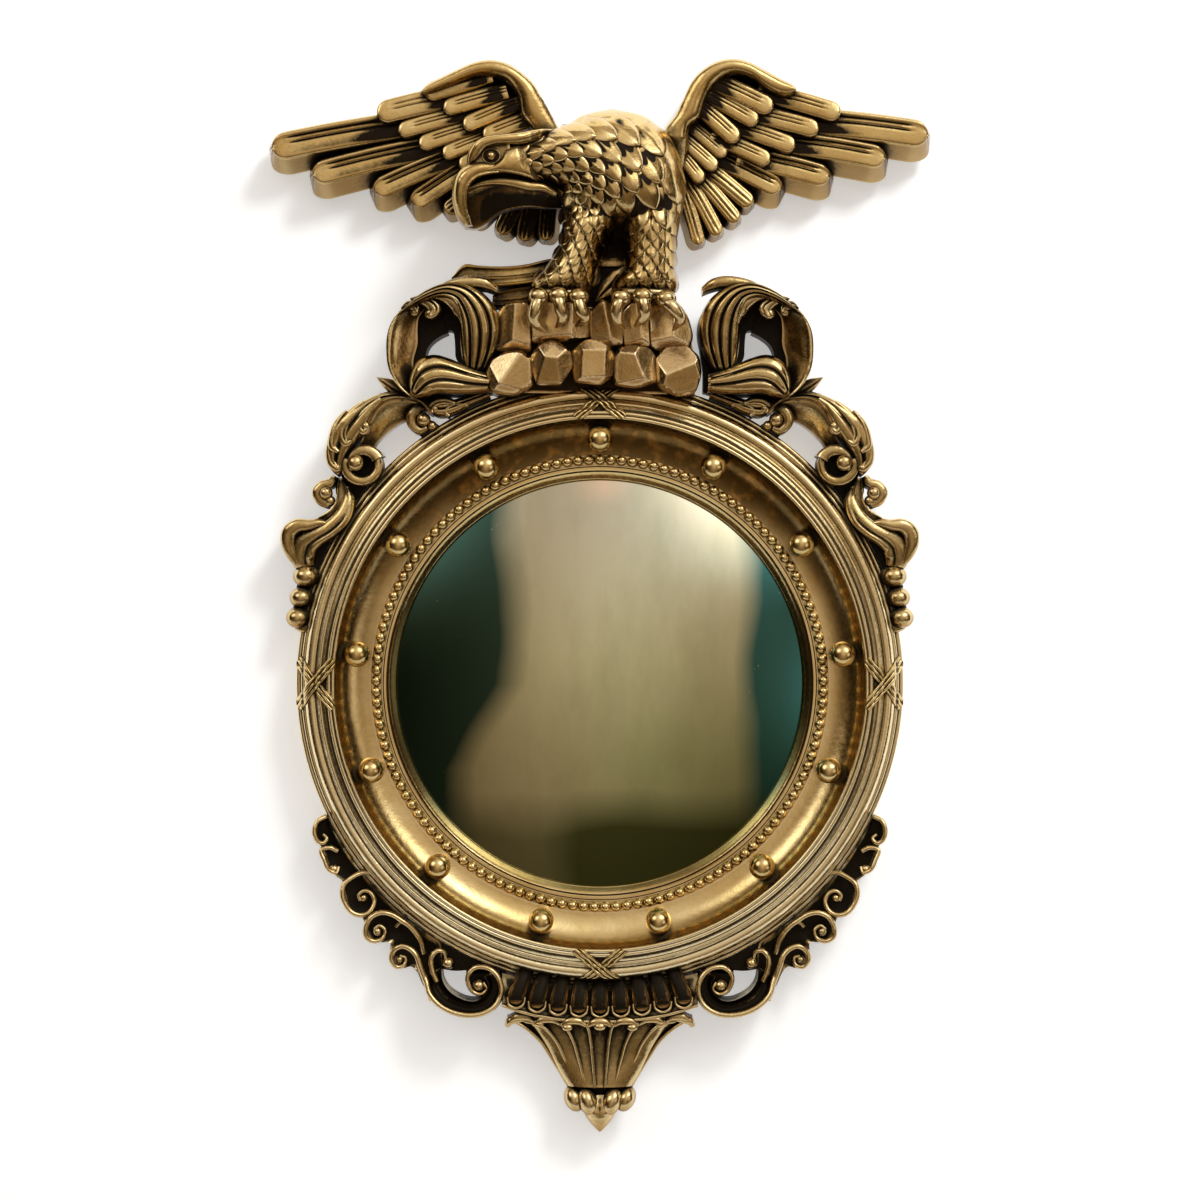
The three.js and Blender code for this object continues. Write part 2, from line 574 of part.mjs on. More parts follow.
function eagleBody() {
  const parts = Object.values(BODY_PARTS).map((stations) => limb(onCrest(stations), 6));
  parts.push(slab(onCrest(TRUNK_BACK), BODY_BACK, BODY_BACK + 12, 2));
  const footSpace = slab(onCrest([[-70, 200], [70, 200], [70, 249.5], [-70, 249.5]]), CLAW_H - FIT, RAISED_TOP);
  const body = joined(parts)
    .intersect(slab(BODY_FOOTPRINT, BODY_BACK, RAISED_TOP))
    .subtract(footSpace);
  return mesh('eagle_body', body, GOLD);
}

// A foot is three toes: each a knuckle and a claw that curls down over the rock.
const FEET = {
  left: [[-37, [-39, 235, -40, 228, -33, 222]], [-25, [-24, 236, -22, 229, -27, 223]], [-12, [-11, 235, -8, 229, -14, 224]]],
  right: [[15, [13, 236, 13, 229, 19, 223]], [28, [29, 236, 29, 229, 23, 223]], [42, [47, 235, 51, 229, 49, 222]]],
};

function foot(side) {
  const toes = FEET[side].map(([x, [x1, z1, x2, z2, x3, z3]]) => {
    const stations = [[x, 248, 5.5, CLAW_H, 62], [x, 243, 6, CLAW_H, 66], [x1, z1, 3.6, CLAW_H, 63], [x2, z2, 2.8, CLAW_H, 60], [x3, z3, 0.7, CLAW_H, 54]];
    return band(onCrest(stations), 6);
  });
  const [first, , last] = FEET[side];
  const web = band(onCrest([[first[0] - 4, 244.5, 3.4, CLAW_H, 61], [last[0] + 4, 244.5, 3.4, CLAW_H, 61]]), 1);
  const trim = slab(onCrest([[-70, 215], [70, 215], [70, 249.2], [-70, 249.2]]), 0, RAISED_TOP);
  return mesh(`talon_${side}`, joined([...toes, web]).intersect(trim), DARK_GOLD);
}

// A feather's outline, from its root to its round tip; inset draws its edge in.
function featherOutline(root, tip, width, inset = 0) {
  const along = new THREE.Vector2(tip[0] - root[0], tip[1] - root[1]);
  const length = along.length() - inset;
  const half = width / 2 - inset;
  along.normalize();
  const edge = [[0, 0.85], [length - 1.1 * half, 1], [length - 0.3 * half, 0.62], [length, 0.12]];
  const at = ([s, w], sign) => [
    root[0] + along.x * s - sign * along.y * w * half,
    root[1] + along.y * s + sign * along.x * w * half,
  ];
  return [...edge.map((p) => at(p, -1)), ...[...edge].reverse().map((p) => at(p, 1))];
}

// Rows of feathers, [root x, root z, tip x, tip z, width]; each row lies on the one before it.
const WINGS = {
  left: {
    flights: [[-110, 353, -211, 341, 17], [-92, 346, -184.5, 323, 18], [-80, 340, -145, 315, 17], [-72, 334, -121, 307, 16],
      [-62, 326, -99, 300, 15], [-52, 318, -83, 291, 14], [-42, 315, -64, 286, 15], [-32, 312, -47, 281, 15], [-22, 310, -32, 282, 14]],
    coverts: [[-92, 379, -140, 364, 13], [-80, 367, -127, 353, 12], [-70, 357, -114, 344, 12], [-62, 351, -98.5, 338, 12],
      [-55, 346, -88, 331, 11]],
    scapulars: [[-66, 377, -98, 365, 12], [-56, 367, -85, 355, 12], [-44, 359, -73, 349, 12]],
    arm: [[-28, 302, 9, 5, 18], [-36, 345, 10, 5, 30], [-42, 364, 8, 5, 34], [-49, 381, 7.5, 5, 36], [-59, 390, 6.5, 5, 37], [-72, 391.5, 5.5, 5, 37],
      [-86, 388, 5.5, 5, 36], [-98, 382.5, 5.5, 5, 35], [-109, 377, 4.5, 5, 34]],
  },
  right: {
    flights: [[118, 361, 214.5, 347, 17], [100, 353, 190, 332, 17], [88, 345, 152, 320.5, 17], [76, 342, 121.5, 313.5, 16],
      [66, 333, 103, 302, 15], [60, 324, 94, 293.5, 14], [54, 316, 81, 285, 14], [46, 308, 66, 279, 13]],
    coverts: [[108, 377, 157, 362, 12], [94, 367, 143, 353, 12], [84, 358, 128, 341, 12], [76, 350, 113, 334, 12],
      [58, 353, 84, 336, 11], [54, 346, 77, 328, 11], [48, 339, 68, 320, 11]],
    scapulars: [[74, 386, 113, 367, 13], [70, 375, 103, 357, 12], [64, 366, 90, 345, 12]],
    arm: [[44, 302, 9, 5, 18], [46, 340, 9, 5, 30], [52, 356, 8, 5, 34], [60, 371, 7.5, 5, 36], [70, 384, 7, 5, 37], [84, 390.5, 5.8, 5, 37],
      [99, 388.5, 5.5, 5, 36], [112, 381.5, 5.5, 5, 35], [125, 376, 4.5, 5, 34]],
  },
};
const FLIGHT_DRAFT = 4.5;         // how far the thick edge of a flight feather spreads to its back
const FEATHER_DRAFT = 1.2;

function wing(side) {
  const { flights, coverts, scapulars, arm } = WINGS[side];
  const row = (feathers, back, front, step, draft) => feathers.map(([x0, z0, x1, z1, width], i) => {
    const [root, tip] = onCrest([[x0, z0], [x1, z1]]);
    return prism(featherOutline(root, tip, width), featherOutline(root, tip, width, draft), back, front - i * step);
  });
  const body = joined([
    ...row(flights, 6, 22, 0.8, FLIGHT_DRAFT),
    ...row(coverts, 12, 28, 0.5, FEATHER_DRAFT),
    ...row(scapulars, 12, 32, 0.5, FEATHER_DRAFT),
    band(onCrest(arm), 12),
  ]);
  const underBody = clearOf(BODY_FOOTPRINT, BODY_BACK - FIT);
  return mesh(`wing_${side}`, body.subtract(underBody), GOLD);
}

const TAIL = {
  outer: [[-20, 262], [-28, 270], [-45, 267.5], [-60, 266.5], [-84, 267], [-91.5, 261.5], [-91, 256], [-86, 254],
    [-65, 254], [-50, 256], [-35, 257], [-20, 250]],
  lower: [[-66, 251], [-50, 252.5], [-35, 251], [-15, 247], [-15, 243.5], [-45, 243.5], [-66, 245]],
  inner: [[-4, 244], [-1, 254], [10, 266], [18, 263], [12, 250], [6, 244]],
  root: [[-34, 244], [-34, 262], [-24, 268], [16, 268], [20, 262], [20, 244]],
};

function tail(crestOutlines) {
  const feather = (points, front) => slab(onCrest(points), 8, front, 1);
  const body = joined([
    feather(TAIL.outer, 30), feather(TAIL.lower, 27), feather(TAIL.inner, BODY_BACK + 8),
    slab(onCrest(TAIL.root), 8, BODY_BACK - FIT),
  ]);
  const cuts = [clearOf(BODY_FOOTPRINT, BODY_BACK - FIT), ...crestOutlines.map((o) => clearOf(o))];
  return mesh('tail', body.subtract(joined(cuts)).subtract(clearOf(ROCK_FOOTPRINT)), GOLD);
}

// ---------------------------------------------------------------- leaf scrolls round the rim
// Every scroll is drawn once, for the right side: its outline, its openings and its raised bands.
const SCROLLS = {
  crest_scroll: {
    back: 3, web: 20,
    outline: [[60, 178], [60, 243], [63, 248], [69.5, 251.6], [77.5, 254.7], [85.5, 255], [94.5, 254.4], [102.5, 251.7],
      [111.5, 247.3], [121, 241.5], [128, 235], [132.4, 227], [134.4, 218], [134.2, 209], [131.3, 199], [125, 190.7],
      [117.5, 185], [110, 183], [109.5, 178], [106, 173], [100, 170.5], [94, 171.3], [90, 168], [75, 174]],
    holes: [[[92.5, 221], [97, 223], [101.5, 222.5], [105, 220.5], [109, 216], [108.5, 213.5], [104, 211], [100, 207.5],
      [96.5, 207], [94.5, 211], [93, 216]]],
    bands: [
      [[70, 194, 8, 3, 34], [90, 193, 9, 3, 36], [108, 195, 9, 3, 38], [121, 203, 8, 3, 40], [127.5, 215, 6.5, 3, 40],
        [125.5, 229, 6.5, 3, 40], [115, 240, 7, 3, 41], [101, 246, 7.5, 3, 42]],
      [[74, 206, 8, 3, 34], [69, 218, 9, 3, 38], [70, 231, 10, 3, 42], [80, 243, 11, 3, 44], [93, 243, 9, 3, 43],
        [96, 234, 5, 3, 40]],
      [[80, 246, 5, 3, 40], [85, 236, 6, 3, 40], [86, 228, 5, 3, 38]],
      [[66, 184, 6, 3, 24], [85, 181, 5, 3, 26], [100, 178, 6, 3, 28], [106, 177, 5, 3, 26]],
    ],
  },
  shoulder_leaf: {
    back: 3, web: 14,
    outline: [[113, 182.5], [122, 186], [131, 196], [141, 194.5], [140.5, 184], [146, 180], [156, 175.5], [164, 170.5],
      [170.5, 163], [173.8, 155], [174.8, 147], [174, 139], [173, 133], [174.5, 129.3], [180, 126.5], [182.7, 121],
      [180.5, 115.5], [175.5, 111.3], [172, 109.5], [160, 104], [148, 118], [136.5, 138.5], [138, 143.5], [143, 149],
      [144, 152.5], [139.5, 157.5], [131, 165], [124, 167.5], [121.5, 164.5], [119.5, 159.5], [116, 156], [107, 156],
      [100, 163], [104, 169.5], [110.5, 173.5], [112, 178]],
    holes: [],
    bands: [
      [[114, 178, 4, 3, 20], [130, 180, 5, 3, 24], [145, 175, 7, 3, 28], [158, 166, 9, 3, 31], [167, 154, 9, 3, 32],
        [170, 141, 6, 3, 30], [166, 130, 5, 3, 26], [165, 117, 5, 3, 24], [168, 109, 5, 3, 22]],
      [[143, 144, 6, 3, 24], [147, 133, 5, 3, 28], [156, 130, 5, 3, 28], [163, 135, 4, 3, 28]],
      [[150, 143, 6, 3, 32], [156, 142, 7, 3, 34]],
      [[108, 165, 6, 3, 24], [115, 168, 6, 3, 24], [116, 174, 4, 3, 24]],
      [[171, 122, 4, 3, 22], [177, 121, 5, 3, 24]],
    ],
  },
  side_volute: {
    back: 3, web: 13,
    outline: [[172, 109.5], [177.5, 102.7], [184, 101.8], [190, 101.6], [196, 102], [200.5, 99], [203, 94], [203, 88],
      [200.5, 82], [198.2, 76.5], [198.7, 73], [199.2, 67.5], [198.8, 62.5], [201.5, 59.5], [201.8, 54.5], [201.3, 50.2],
      [203.3, 46], [203.2, 40], [200.8, 35.5], [195.6, 31.8], [189, 34], [186, 55], [176, 80], [168, 98], [162, 104]],
    holes: [],
    bands: [
      [[170, 106, 5, 3, 22], [180, 99, 5, 3, 25], [192, 97, 5, 3, 27], [198, 92, 5, 3, 27], [195, 85, 4, 3, 22]],
      [[186, 70, 5, 3, 20], [193, 70, 5, 3, 22]],
      [[188, 56, 5, 3, 20], [196, 55, 5, 3, 22]],
      [[191, 42, 5, 3, 20], [198, 42, 5, 3, 22]],
    ],
  },
  apron_scroll: {
    back: 3, web: 12,
    outline: [[174, -86], [182, -89.5], [183.5, -96], [182.5, -102], [178.5, -106.5], [176.8, -113], [174.5, -118.5],
      [170.5, -123.5], [165.5, -127.5], [165.2, -134.5], [163.5, -142.5], [159, -148.7], [153.3, -152], [150.9, -155.5],
      [150.6, -160], [147, -165.5], [140, -167.2], [134.5, -167], [133.8, -173.5], [131.5, -180], [125.5, -183.8],
      [119.5, -182.4], [116.3, -186.5], [113, -195], [108.5, -202.5], [100.5, -208.5], [91, -212], [80.5, -212.6],
      [71, -209.5], [65, -203], [62.6, -194], [64, -182], [90, -170], [130, -142], [160, -108]],
    holes: [[[101, -185], [86.5, -185.3], [85.5, -190], [83.5, -196], [79, -202.5], [85, -203], [92.5, -200], [98, -196],
      [101, -190]]],
    bands: [
      [[178, -90, 3, 3, 15], [180, -98, 3, 3, 17], [174, -106, 3, 3, 15]],
      [[165, -112, 3, 3, 15], [172, -113, 3, 3, 17], [170, -120, 3, 3, 17], [163, -124, 3, 3, 15]],
      [[152, -129, 3, 3, 16], [161, -131, 3, 3, 19], [161, -142, 3, 3, 20], [152, -148, 3, 3, 19], [146, -142, 3, 3, 17],
        [150, -137, 3, 3, 17]],
      [[126, -152, 3, 3, 16], [138, -150, 3, 3, 19], [147, -156, 3, 3, 20], [142, -164, 3, 3, 19]],
      [[112, -174, 3, 3, 17], [121, -169, 3, 3, 19], [130, -173, 3, 3, 20], [126, -180, 3, 3, 19]],
      [[97, -180, 3, 3, 16], [99, -174, 3, 3, 19], [107, -180, 4, 3, 21], [109, -192, 4, 3, 22], [100, -204, 4, 3, 23],
        [84, -208.5, 3.5, 3, 24], [69, -203, 3.5, 3, 24], [65.5, -193, 3, 3, 22], [73, -187, 3, 3, 20], [80, -190, 3, 3, 19]],
      [[72, -196, 4, 3, 20], [77, -196, 4, 3, 21]],
    ],
  },
};

const sided = (points, side) => (side < 0 ? mirrored(points) : points);
const scrollOutline = (kind, side) => onRim(sided(SCROLLS[kind].outline, side));

// The bands are trimmed to the outline, so a neighbour that clears the outline clears the piece.
function scroll(kind, side, neighbours) {
  const { back, web, outline, holes, bands } = SCROLLS[kind];
  const footprint = onRim(sided(outline, side));
  const raised = bands.map((stations) => band(onRim(sided(stations, side)), Math.ceil(1.5 * (stations.length - 1))));
  let body = joined([slab(footprint, back, web, 0.8), ...raised]).intersect(slab(footprint, back, RAISED_TOP));
  holes.forEach((hole) => {
    body = body.subtract(slab(onRim(sided(hole, side)), -1, RAISED_TOP));
  });
  body = body.subtract(joined([frameClearance, ...neighbours.map((o) => clearOf(o))]));
  return mesh(`${kind}_${side < 0 ? 'left' : 'right'}`, largestPiece(body), DARK_GOLD);
}

// Trimming can leave crumbs beside the piece; the piece is the largest of them.
function largestPiece(body) {
  const pieces = body.decompose();
  return pieces.reduce((a, b) => (b.volume() > a.volume() ? b : a));
}

// ---------------------------------------------------------------- pendant
const COLLAR_OUTLINE = (() => {
  const right = [[62.5, -180], [62.3, -202], [60, -207], [45, -211.5], [25, -214.8]];
  return [...right, [0, -216], ...mirrored(right).reverse()];
})();
const CONSOLE_OUTLINE = (() => {
  const right = [[60, -204], [60.2, -213], [56.5, -217], [50, -218], [44, -221], [38, -227], [31, -238], [25, -250], [20.5, -259]];
  return [...right, ...mirrored(right).reverse()];
})();
const BUD_OUTLINE = (() => {
  const right = [[20.2, -259.3], [22.5, -262], [23.5, -267], [22, -272], [16, -275.5], [12, -278], [8, -282], [3, -286.5]];
  return [...right, [0, -287.5], ...mirrored(right).reverse()];
})();
const GADROONS = 9;
const FLUTES = 7;

function gadroonCollar() {
  const lobes = Array.from({ length: GADROONS }, (_, i) => {
    const x = ((i - (GADROONS - 1) / 2) * 13.4);
    const drop = (x / 62) ** 2 * 8;
    return band(onRim([[x * 0.82, -188 + drop * 0.6, 4.6, 3, 18], [x * 0.93, -201 + drop * 0.8, 5.4, 3, 27], [x, -209.5 + drop, 4.4, 3, 20]]), 3);
  });
  const outline = onRim(COLLAR_OUTLINE);
  const body = joined([slab(outline, 3, 16, 1), ...lobes]).intersect(slab(outline, 3, RAISED_TOP)).subtract(frameClearance);
  return mesh('gadroon_collar', largestPiece(body), DARK_GOLD);
}

function pendantConsole() {
  const outline = belowFrame(CONSOLE_OUTLINE);
  const ribs = Array.from({ length: FLUTES }, (_, i) => {
    const s = (i - (FLUTES - 1) / 2) / ((FLUTES - 1) / 2);
    const bulge = 1 - 0.35 * s * s;
    return band(belowFrame([[s * 50, -217 + 2 * s * s, 5.5, 3, 27 * bulge], [s * 34, -232, 4.5, 3, 23 * bulge],
      [s * 21, -247, 3.2, 3, 19 * bulge], [s * 15.5, -259.5, 2.4, 3, 17 * bulge]]), 5);
  });
  const body = joined([slab(outline, 3, 13, 1), ...ribs])
    .intersect(slab(outline, 3, RAISED_TOP))
    .subtract(clearOf(onRim(COLLAR_OUTLINE)));
  return mesh('pendant_console', largestPiece(body), DARK_GOLD);
}

function pendantBud() {
  const outline = belowFrame(BUD_OUTLINE);
  const lobes = [[-17, -266, 7, 19], [-7.5, -268, 8.5, 24], [7.5, -268, 8.5, 24], [17, -266, 7, 19]].map(([x, z, half, front]) => (
    limb(belowFrame([[x * 0.9, z + 7, half * 0.6, 3, front * 0.8], [x, z, half, 2, front], [x * 0.6, z - 10, half * 0.6, 3, front * 0.75]]), 4)));
  const tip = limb(belowFrame([[0, -268, 9, 2, 20], [0, -280, 7, 3, 16], [0, -287.5, 1.5, 4, 10]]), 4);
  const body = joined([slab(outline, 3, 9, 0.8), ...lobes, tip])
    .intersect(slab(outline, 3, RAISED_TOP))
    .subtract(clearOf(belowFrame(CONSOLE_OUTLINE)));
  return mesh('pendant_bud', largestPiece(body), DARK_GOLD);
}

// ---------------------------------------------------------------- the whole mirror
const mirror = new THREE.Group();
mirror.name = 'girandole_mirror';

const roundFrame = new THREE.Group();
roundFrame.add(frameRing(), beadRing(), sightSlip(), mirrorGlass(), backPanel(), ...balls());
roundFrame.add(...BUTTON_NAMES.map((name, i) => ribbonTie(`ribbon_tie_${name}`, (i * Math.PI) / 2)));

const fastenings = new THREE.Group();
turnButtonPlaces().forEach((place) => {
  fastenings.add(turnButton(place), screw(`turn_button_screw_${place.name}`, place, FIT + TURN_BUTTON_T));
});
strapScrewPlaces().forEach((place) => fastenings.add(screw(`strap_screw_${place.name}`, place, FIT + STRAP_T)));
[[-1, 'left'], [1, 'right']].forEach(([side, name]) => {
  fastenings.add(hangerStrap(`hanger_strap_${name}`, side), dRing(`d_ring_${name}`, side), bumper(`bumper_${name}`, side));
});

const crest = new THREE.Group();
const crestOutlines = [-1, 1].map((side) => scrollOutline('crest_scroll', side));
crest.add(rockBase(), eagleBody(), foot('left'), foot('right'), wing('left'), wing('right'), tail(crestOutlines));

const rimCarving = new THREE.Group();
const collarOutline = onRim(COLLAR_OUTLINE);
[-1, 1].forEach((side) => {
  rimCarving.add(scroll('crest_scroll', side, [ROCK_FOOTPRINT]));
  rimCarving.add(scroll('shoulder_leaf', side, [scrollOutline('crest_scroll', side)]));
  rimCarving.add(scroll('side_volute', side, [scrollOutline('shoulder_leaf', side)]));
  rimCarving.add(scroll('apron_scroll', side, [collarOutline, belowFrame(CONSOLE_OUTLINE)]));
});

const pendant = new THREE.Group();
pendant.add(gadroonCollar(), pendantConsole(), pendantBud());

mirror.add(roundFrame, fastenings, crest, rimCarving, pendant);

export default mirror;
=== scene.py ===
"""Looks of a girandole wall mirror: a moulded gilt frame with a convex glass, balls in its hollow,
an eagle on rocks above, leaf scrolls round the rim and a fluted pendant below.

Shapes are worked out in millimetres as arrays of points (x, z, height), where height is the distance
in front of the frame's flat back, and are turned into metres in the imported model's frame on the way in.
"""

import math

import bmesh
import bpy
import numpy as np
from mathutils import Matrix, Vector


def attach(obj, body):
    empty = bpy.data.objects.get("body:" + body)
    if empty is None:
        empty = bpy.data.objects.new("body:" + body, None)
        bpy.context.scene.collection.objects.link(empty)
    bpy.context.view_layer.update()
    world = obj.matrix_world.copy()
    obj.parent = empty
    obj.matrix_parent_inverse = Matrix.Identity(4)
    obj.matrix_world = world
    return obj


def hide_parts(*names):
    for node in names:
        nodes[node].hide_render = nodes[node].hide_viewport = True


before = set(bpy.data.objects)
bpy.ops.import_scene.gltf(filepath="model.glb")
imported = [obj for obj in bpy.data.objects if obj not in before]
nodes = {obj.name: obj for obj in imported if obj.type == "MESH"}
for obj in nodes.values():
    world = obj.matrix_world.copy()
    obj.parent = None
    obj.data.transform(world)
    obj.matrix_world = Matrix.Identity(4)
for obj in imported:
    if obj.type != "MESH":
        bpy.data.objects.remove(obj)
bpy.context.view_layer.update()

TAU = 2 * math.pi
rng = np.random.default_rng(7)

# ------------------------------------------------------------------ sizes of the round frame (mm)
RIM_R = 195.0                # outer wall
RIM_WALL_H = 11.5
LIP_R = 168.7                # lip of the hollow
LIP_H = 36.4
COVE_W = 21.5
COVE_R = LIP_R - COVE_W      # foot of the hollow
SEAT_W = 8.0
SEAT_H = 17.0
SIGHT_R = COVE_R - SEAT_W
RABBET_R = SIGHT_R + 2.8
RABBET_H = 11.4
BALL_R = 8.25
BALLS = 13
BALL_CENTRE = (155.9, 28.4)  # radius and height of a ball's centre
BEAD_PITCH = 6.96
GLASS_R = RABBET_R - 2
GLASS_EDGE_H = 8.0
GLASS_RISE = 24.0
GLASS_CURVE_R = (GLASS_R ** 2 + GLASS_RISE ** 2) / (2 * GLASS_RISE)
LEAN = math.radians(0.4)     # the crest leans a little to the left
WELD = 2e-6                  # points this near each other (m) are one
GAP_SHADE = 6.0                 # painted shade: the tone of a flat bed behind the carvings, fully dark, so it shows as shade in the gaps between them
BACK_TONE = 0.62             # even tone of the carvings' backs


# ------------------------------------------------------------------ curves
def spline(points, count):
    """Points evenly spread along the centripetal Catmull-Rom curve through the given ones."""
    p = np.asarray(points, float)
    if len(p) == 2:
        t = np.linspace(0, 1, count)[:, None]
        return p[0] + (p[1] - p[0]) * t
    ends = np.vstack([2 * p[0] - p[1], p, 2 * p[-1] - p[-2]])
    gaps = np.maximum(np.linalg.norm(np.diff(ends[:, :2], axis=0), axis=1), 1e-6) ** 0.5
    knots = np.concatenate([[0], np.cumsum(gaps)])
    fine = []
    for i in range(1, len(ends) - 2):
        a, b, c, d = ends[i - 1], ends[i], ends[i + 1], ends[i + 2]
        ta, tb, tc, td = knots[i - 1:i + 3]
        t = np.linspace(tb, tc, 24, endpoint=False)[:, None]
        ab = (tb - t) / (tb - ta) * a + (t - ta) / (tb - ta) * b
        bc = (tc - t) / (tc - tb) * b + (t - tb) / (tc - tb) * c
        cd = (td - t) / (td - tc) * c + (t - tc) / (td - tc) * d
        abc = (tc - t) / (tc - ta) * ab + (t - ta) / (tc - ta) * bc
        bcd = (td - t) / (td - tb) * bc + (t - tb) / (td - tb) * cd
        fine.append((tc - t) / (tc - tb) * abc + (t - tb) / (tc - tb) * bcd)
    fine = np.vstack(fine + [p[-1:]])
    return respaced(fine, count)


def respaced(p, count):
    """The same path, resampled at equal steps of its length in the picture plane."""
    run = np.concatenate([[0], np.cumsum(np.linalg.norm(np.diff(p[:, :2], axis=0), axis=1))])
    at = np.linspace(0, run[-1], count)
    return np.stack([np.interp(at, run, p[:, k]) for k in range(p.shape[1])], 1)


def sides(path):
    """Unit tangents and left-hand normals of a path in the picture plane."""
    t = np.gradient(path[:, :2], axis=0)
    t /= np.maximum(np.linalg.norm(t, axis=1, keepdims=True), 1e-9)
    return t, np.stack([-t[:, 1], t[:, 0]], 1)


def smooth(a, b, x):
    """0 below a, 1 above b, with a smooth rise between."""
    t = np.clip((x - a) / (b - a), 0, 1)
    return t * t * (3 - 2 * t)


def round_over(u, share=1.0):
    """A half circle's height over its flat: sqrt(1 - (share u)^2), and 0 past its edge."""
    return np.sqrt(np.clip(1 - (share * u) ** 2, 0, 1))


def bump(x, centre, width):
    """A bell of height 1."""
    return np.exp(-((x - centre) / width) ** 2)


def leaning(points):
    """Turns crest points (x, z, ...) by the crest's small lean."""
    p = np.array(points, float)
    x, z = p[..., 0].copy(), p[..., 1].copy()
    p[..., 0] = x * math.cos(LEAN) - z * math.sin(LEAN)
    p[..., 1] = z * math.cos(LEAN) + x * math.sin(LEAN)
    return p


# ------------------------------------------------------------------ closed skins
def quads(rows, cols, wrap_rows=False, wrap_cols=False):
    """Quads of a rows by cols grid of points, closed round either way."""
    r = np.arange(rows if wrap_rows else rows - 1)[:, None]
    c = np.arange(cols if wrap_cols else cols - 1)[None, :]
    r2, c2 = (r + 1) % rows, (c + 1) % cols
    return np.stack([r * cols + c, r * cols + c2, r2 * cols + c2, r2 * cols + c], -1).reshape(-1, 4)


def outward(v, f):
    """Turns a closed skin's faces outward, by the sign of its volume."""
    a, b, c, d = (v[f[:, k]] for k in range(4))
    volume = np.einsum("ij,ij->i", a, np.cross(b, c) + np.cross(c, d)).sum()
    return (v, f[:, ::-1]) if volume < 0 else (v, f)


def tube(rings):
    """A skin over rings of points (stations, around, 3), each end closed to its middle."""
    p = np.asarray(rings, float)
    n, m = p.shape[:2]
    p = np.concatenate([np.repeat(p[:1].mean(1, keepdims=True), m, 1), p,
                        np.repeat(p[-1:].mean(1, keepdims=True), m, 1)])
    return outward(p.reshape(-1, 3), quads(n + 2, m, wrap_cols=True))


def ring_body(rings):
    """A skin over rings of points that closes both ways, as a torus does."""
    p = np.asarray(rings, float)
    return outward(p.reshape(-1, 3), quads(p.shape[0], p.shape[1], True, True))


def slab_between(top, bottom, steps=(0.1, 0.9)):
    """A skin over two grids of points of the same shape, joined by walls with rows at the given
    shares of their height."""
    top, bottom = np.asarray(top, float), np.asarray(bottom, float)
    n, m = top.shape[:2]
    edge = np.concatenate([np.arange(m), np.arange(1, n) * m + m - 1, (n - 1) * m + np.arange(m - 2, -1, -1),
                           np.arange(n - 2, 0, -1) * m])
    under = n * m
    top, bottom = top.reshape(-1, 3), bottom.reshape(-1, 3)
    rows = [edge] + [2 * under + i * len(edge) + np.arange(len(edge))
                     for i in range(len(steps))] + [edge + under]
    walls = [np.stack([a, np.roll(a, -1), np.roll(b, -1), b], 1) for a, b in zip(rows[:-1], rows[1:])]
    v = np.concatenate([top, bottom] + [top[edge] * (1 - t) + bottom[edge] * t for t in steps])
    f = np.concatenate([quads(n, m)[:, ::-1], quads(n, m) + under] + walls)
    return outward(v, f)


def turned(profile, count=360, wobble=None):
    """A closed profile of (radius, height) carried round the axis of the frame."""
    p = np.asarray(profile, float)
    a = np.arange(count) * TAU / count
    r = np.tile(p[:, 0], (count, 1)) + (0 if wobble is None else wobble(a)[:, None])
    return ring_body(np.stack([r * np.sin(a)[:, None], r * np.cos(a)[:, None],
                               np.broadcast_to(p[None, :, 1], r.shape)], -1))


def ball(x, z, h, r, rows=10, cols=16, stretch=(1, 1, 1)):
    """A sphere from its two angles."""
    t = np.linspace(0, math.pi, rows)[:, None]
    a = np.arange(cols)[None, :] * TAU / cols
    p = np.stack([np.sin(t) * np.cos(a), np.sin(t) * np.sin(a), np.cos(t) + 0 * a],
                 -1) * r * np.array(stretch)
    return outward((p + [x, z, h]).reshape(-1, 3), quads(rows, cols, wrap_cols=True))


def arc(cx, cy, rx, ry, a, b, steps):
    """Points of an ellipse from angle a to b, in degrees."""
    t = np.radians(np.linspace(a, b, steps))
    return np.stack([cx + rx * np.cos(t), cy + ry * np.sin(t)], 1).tolist()


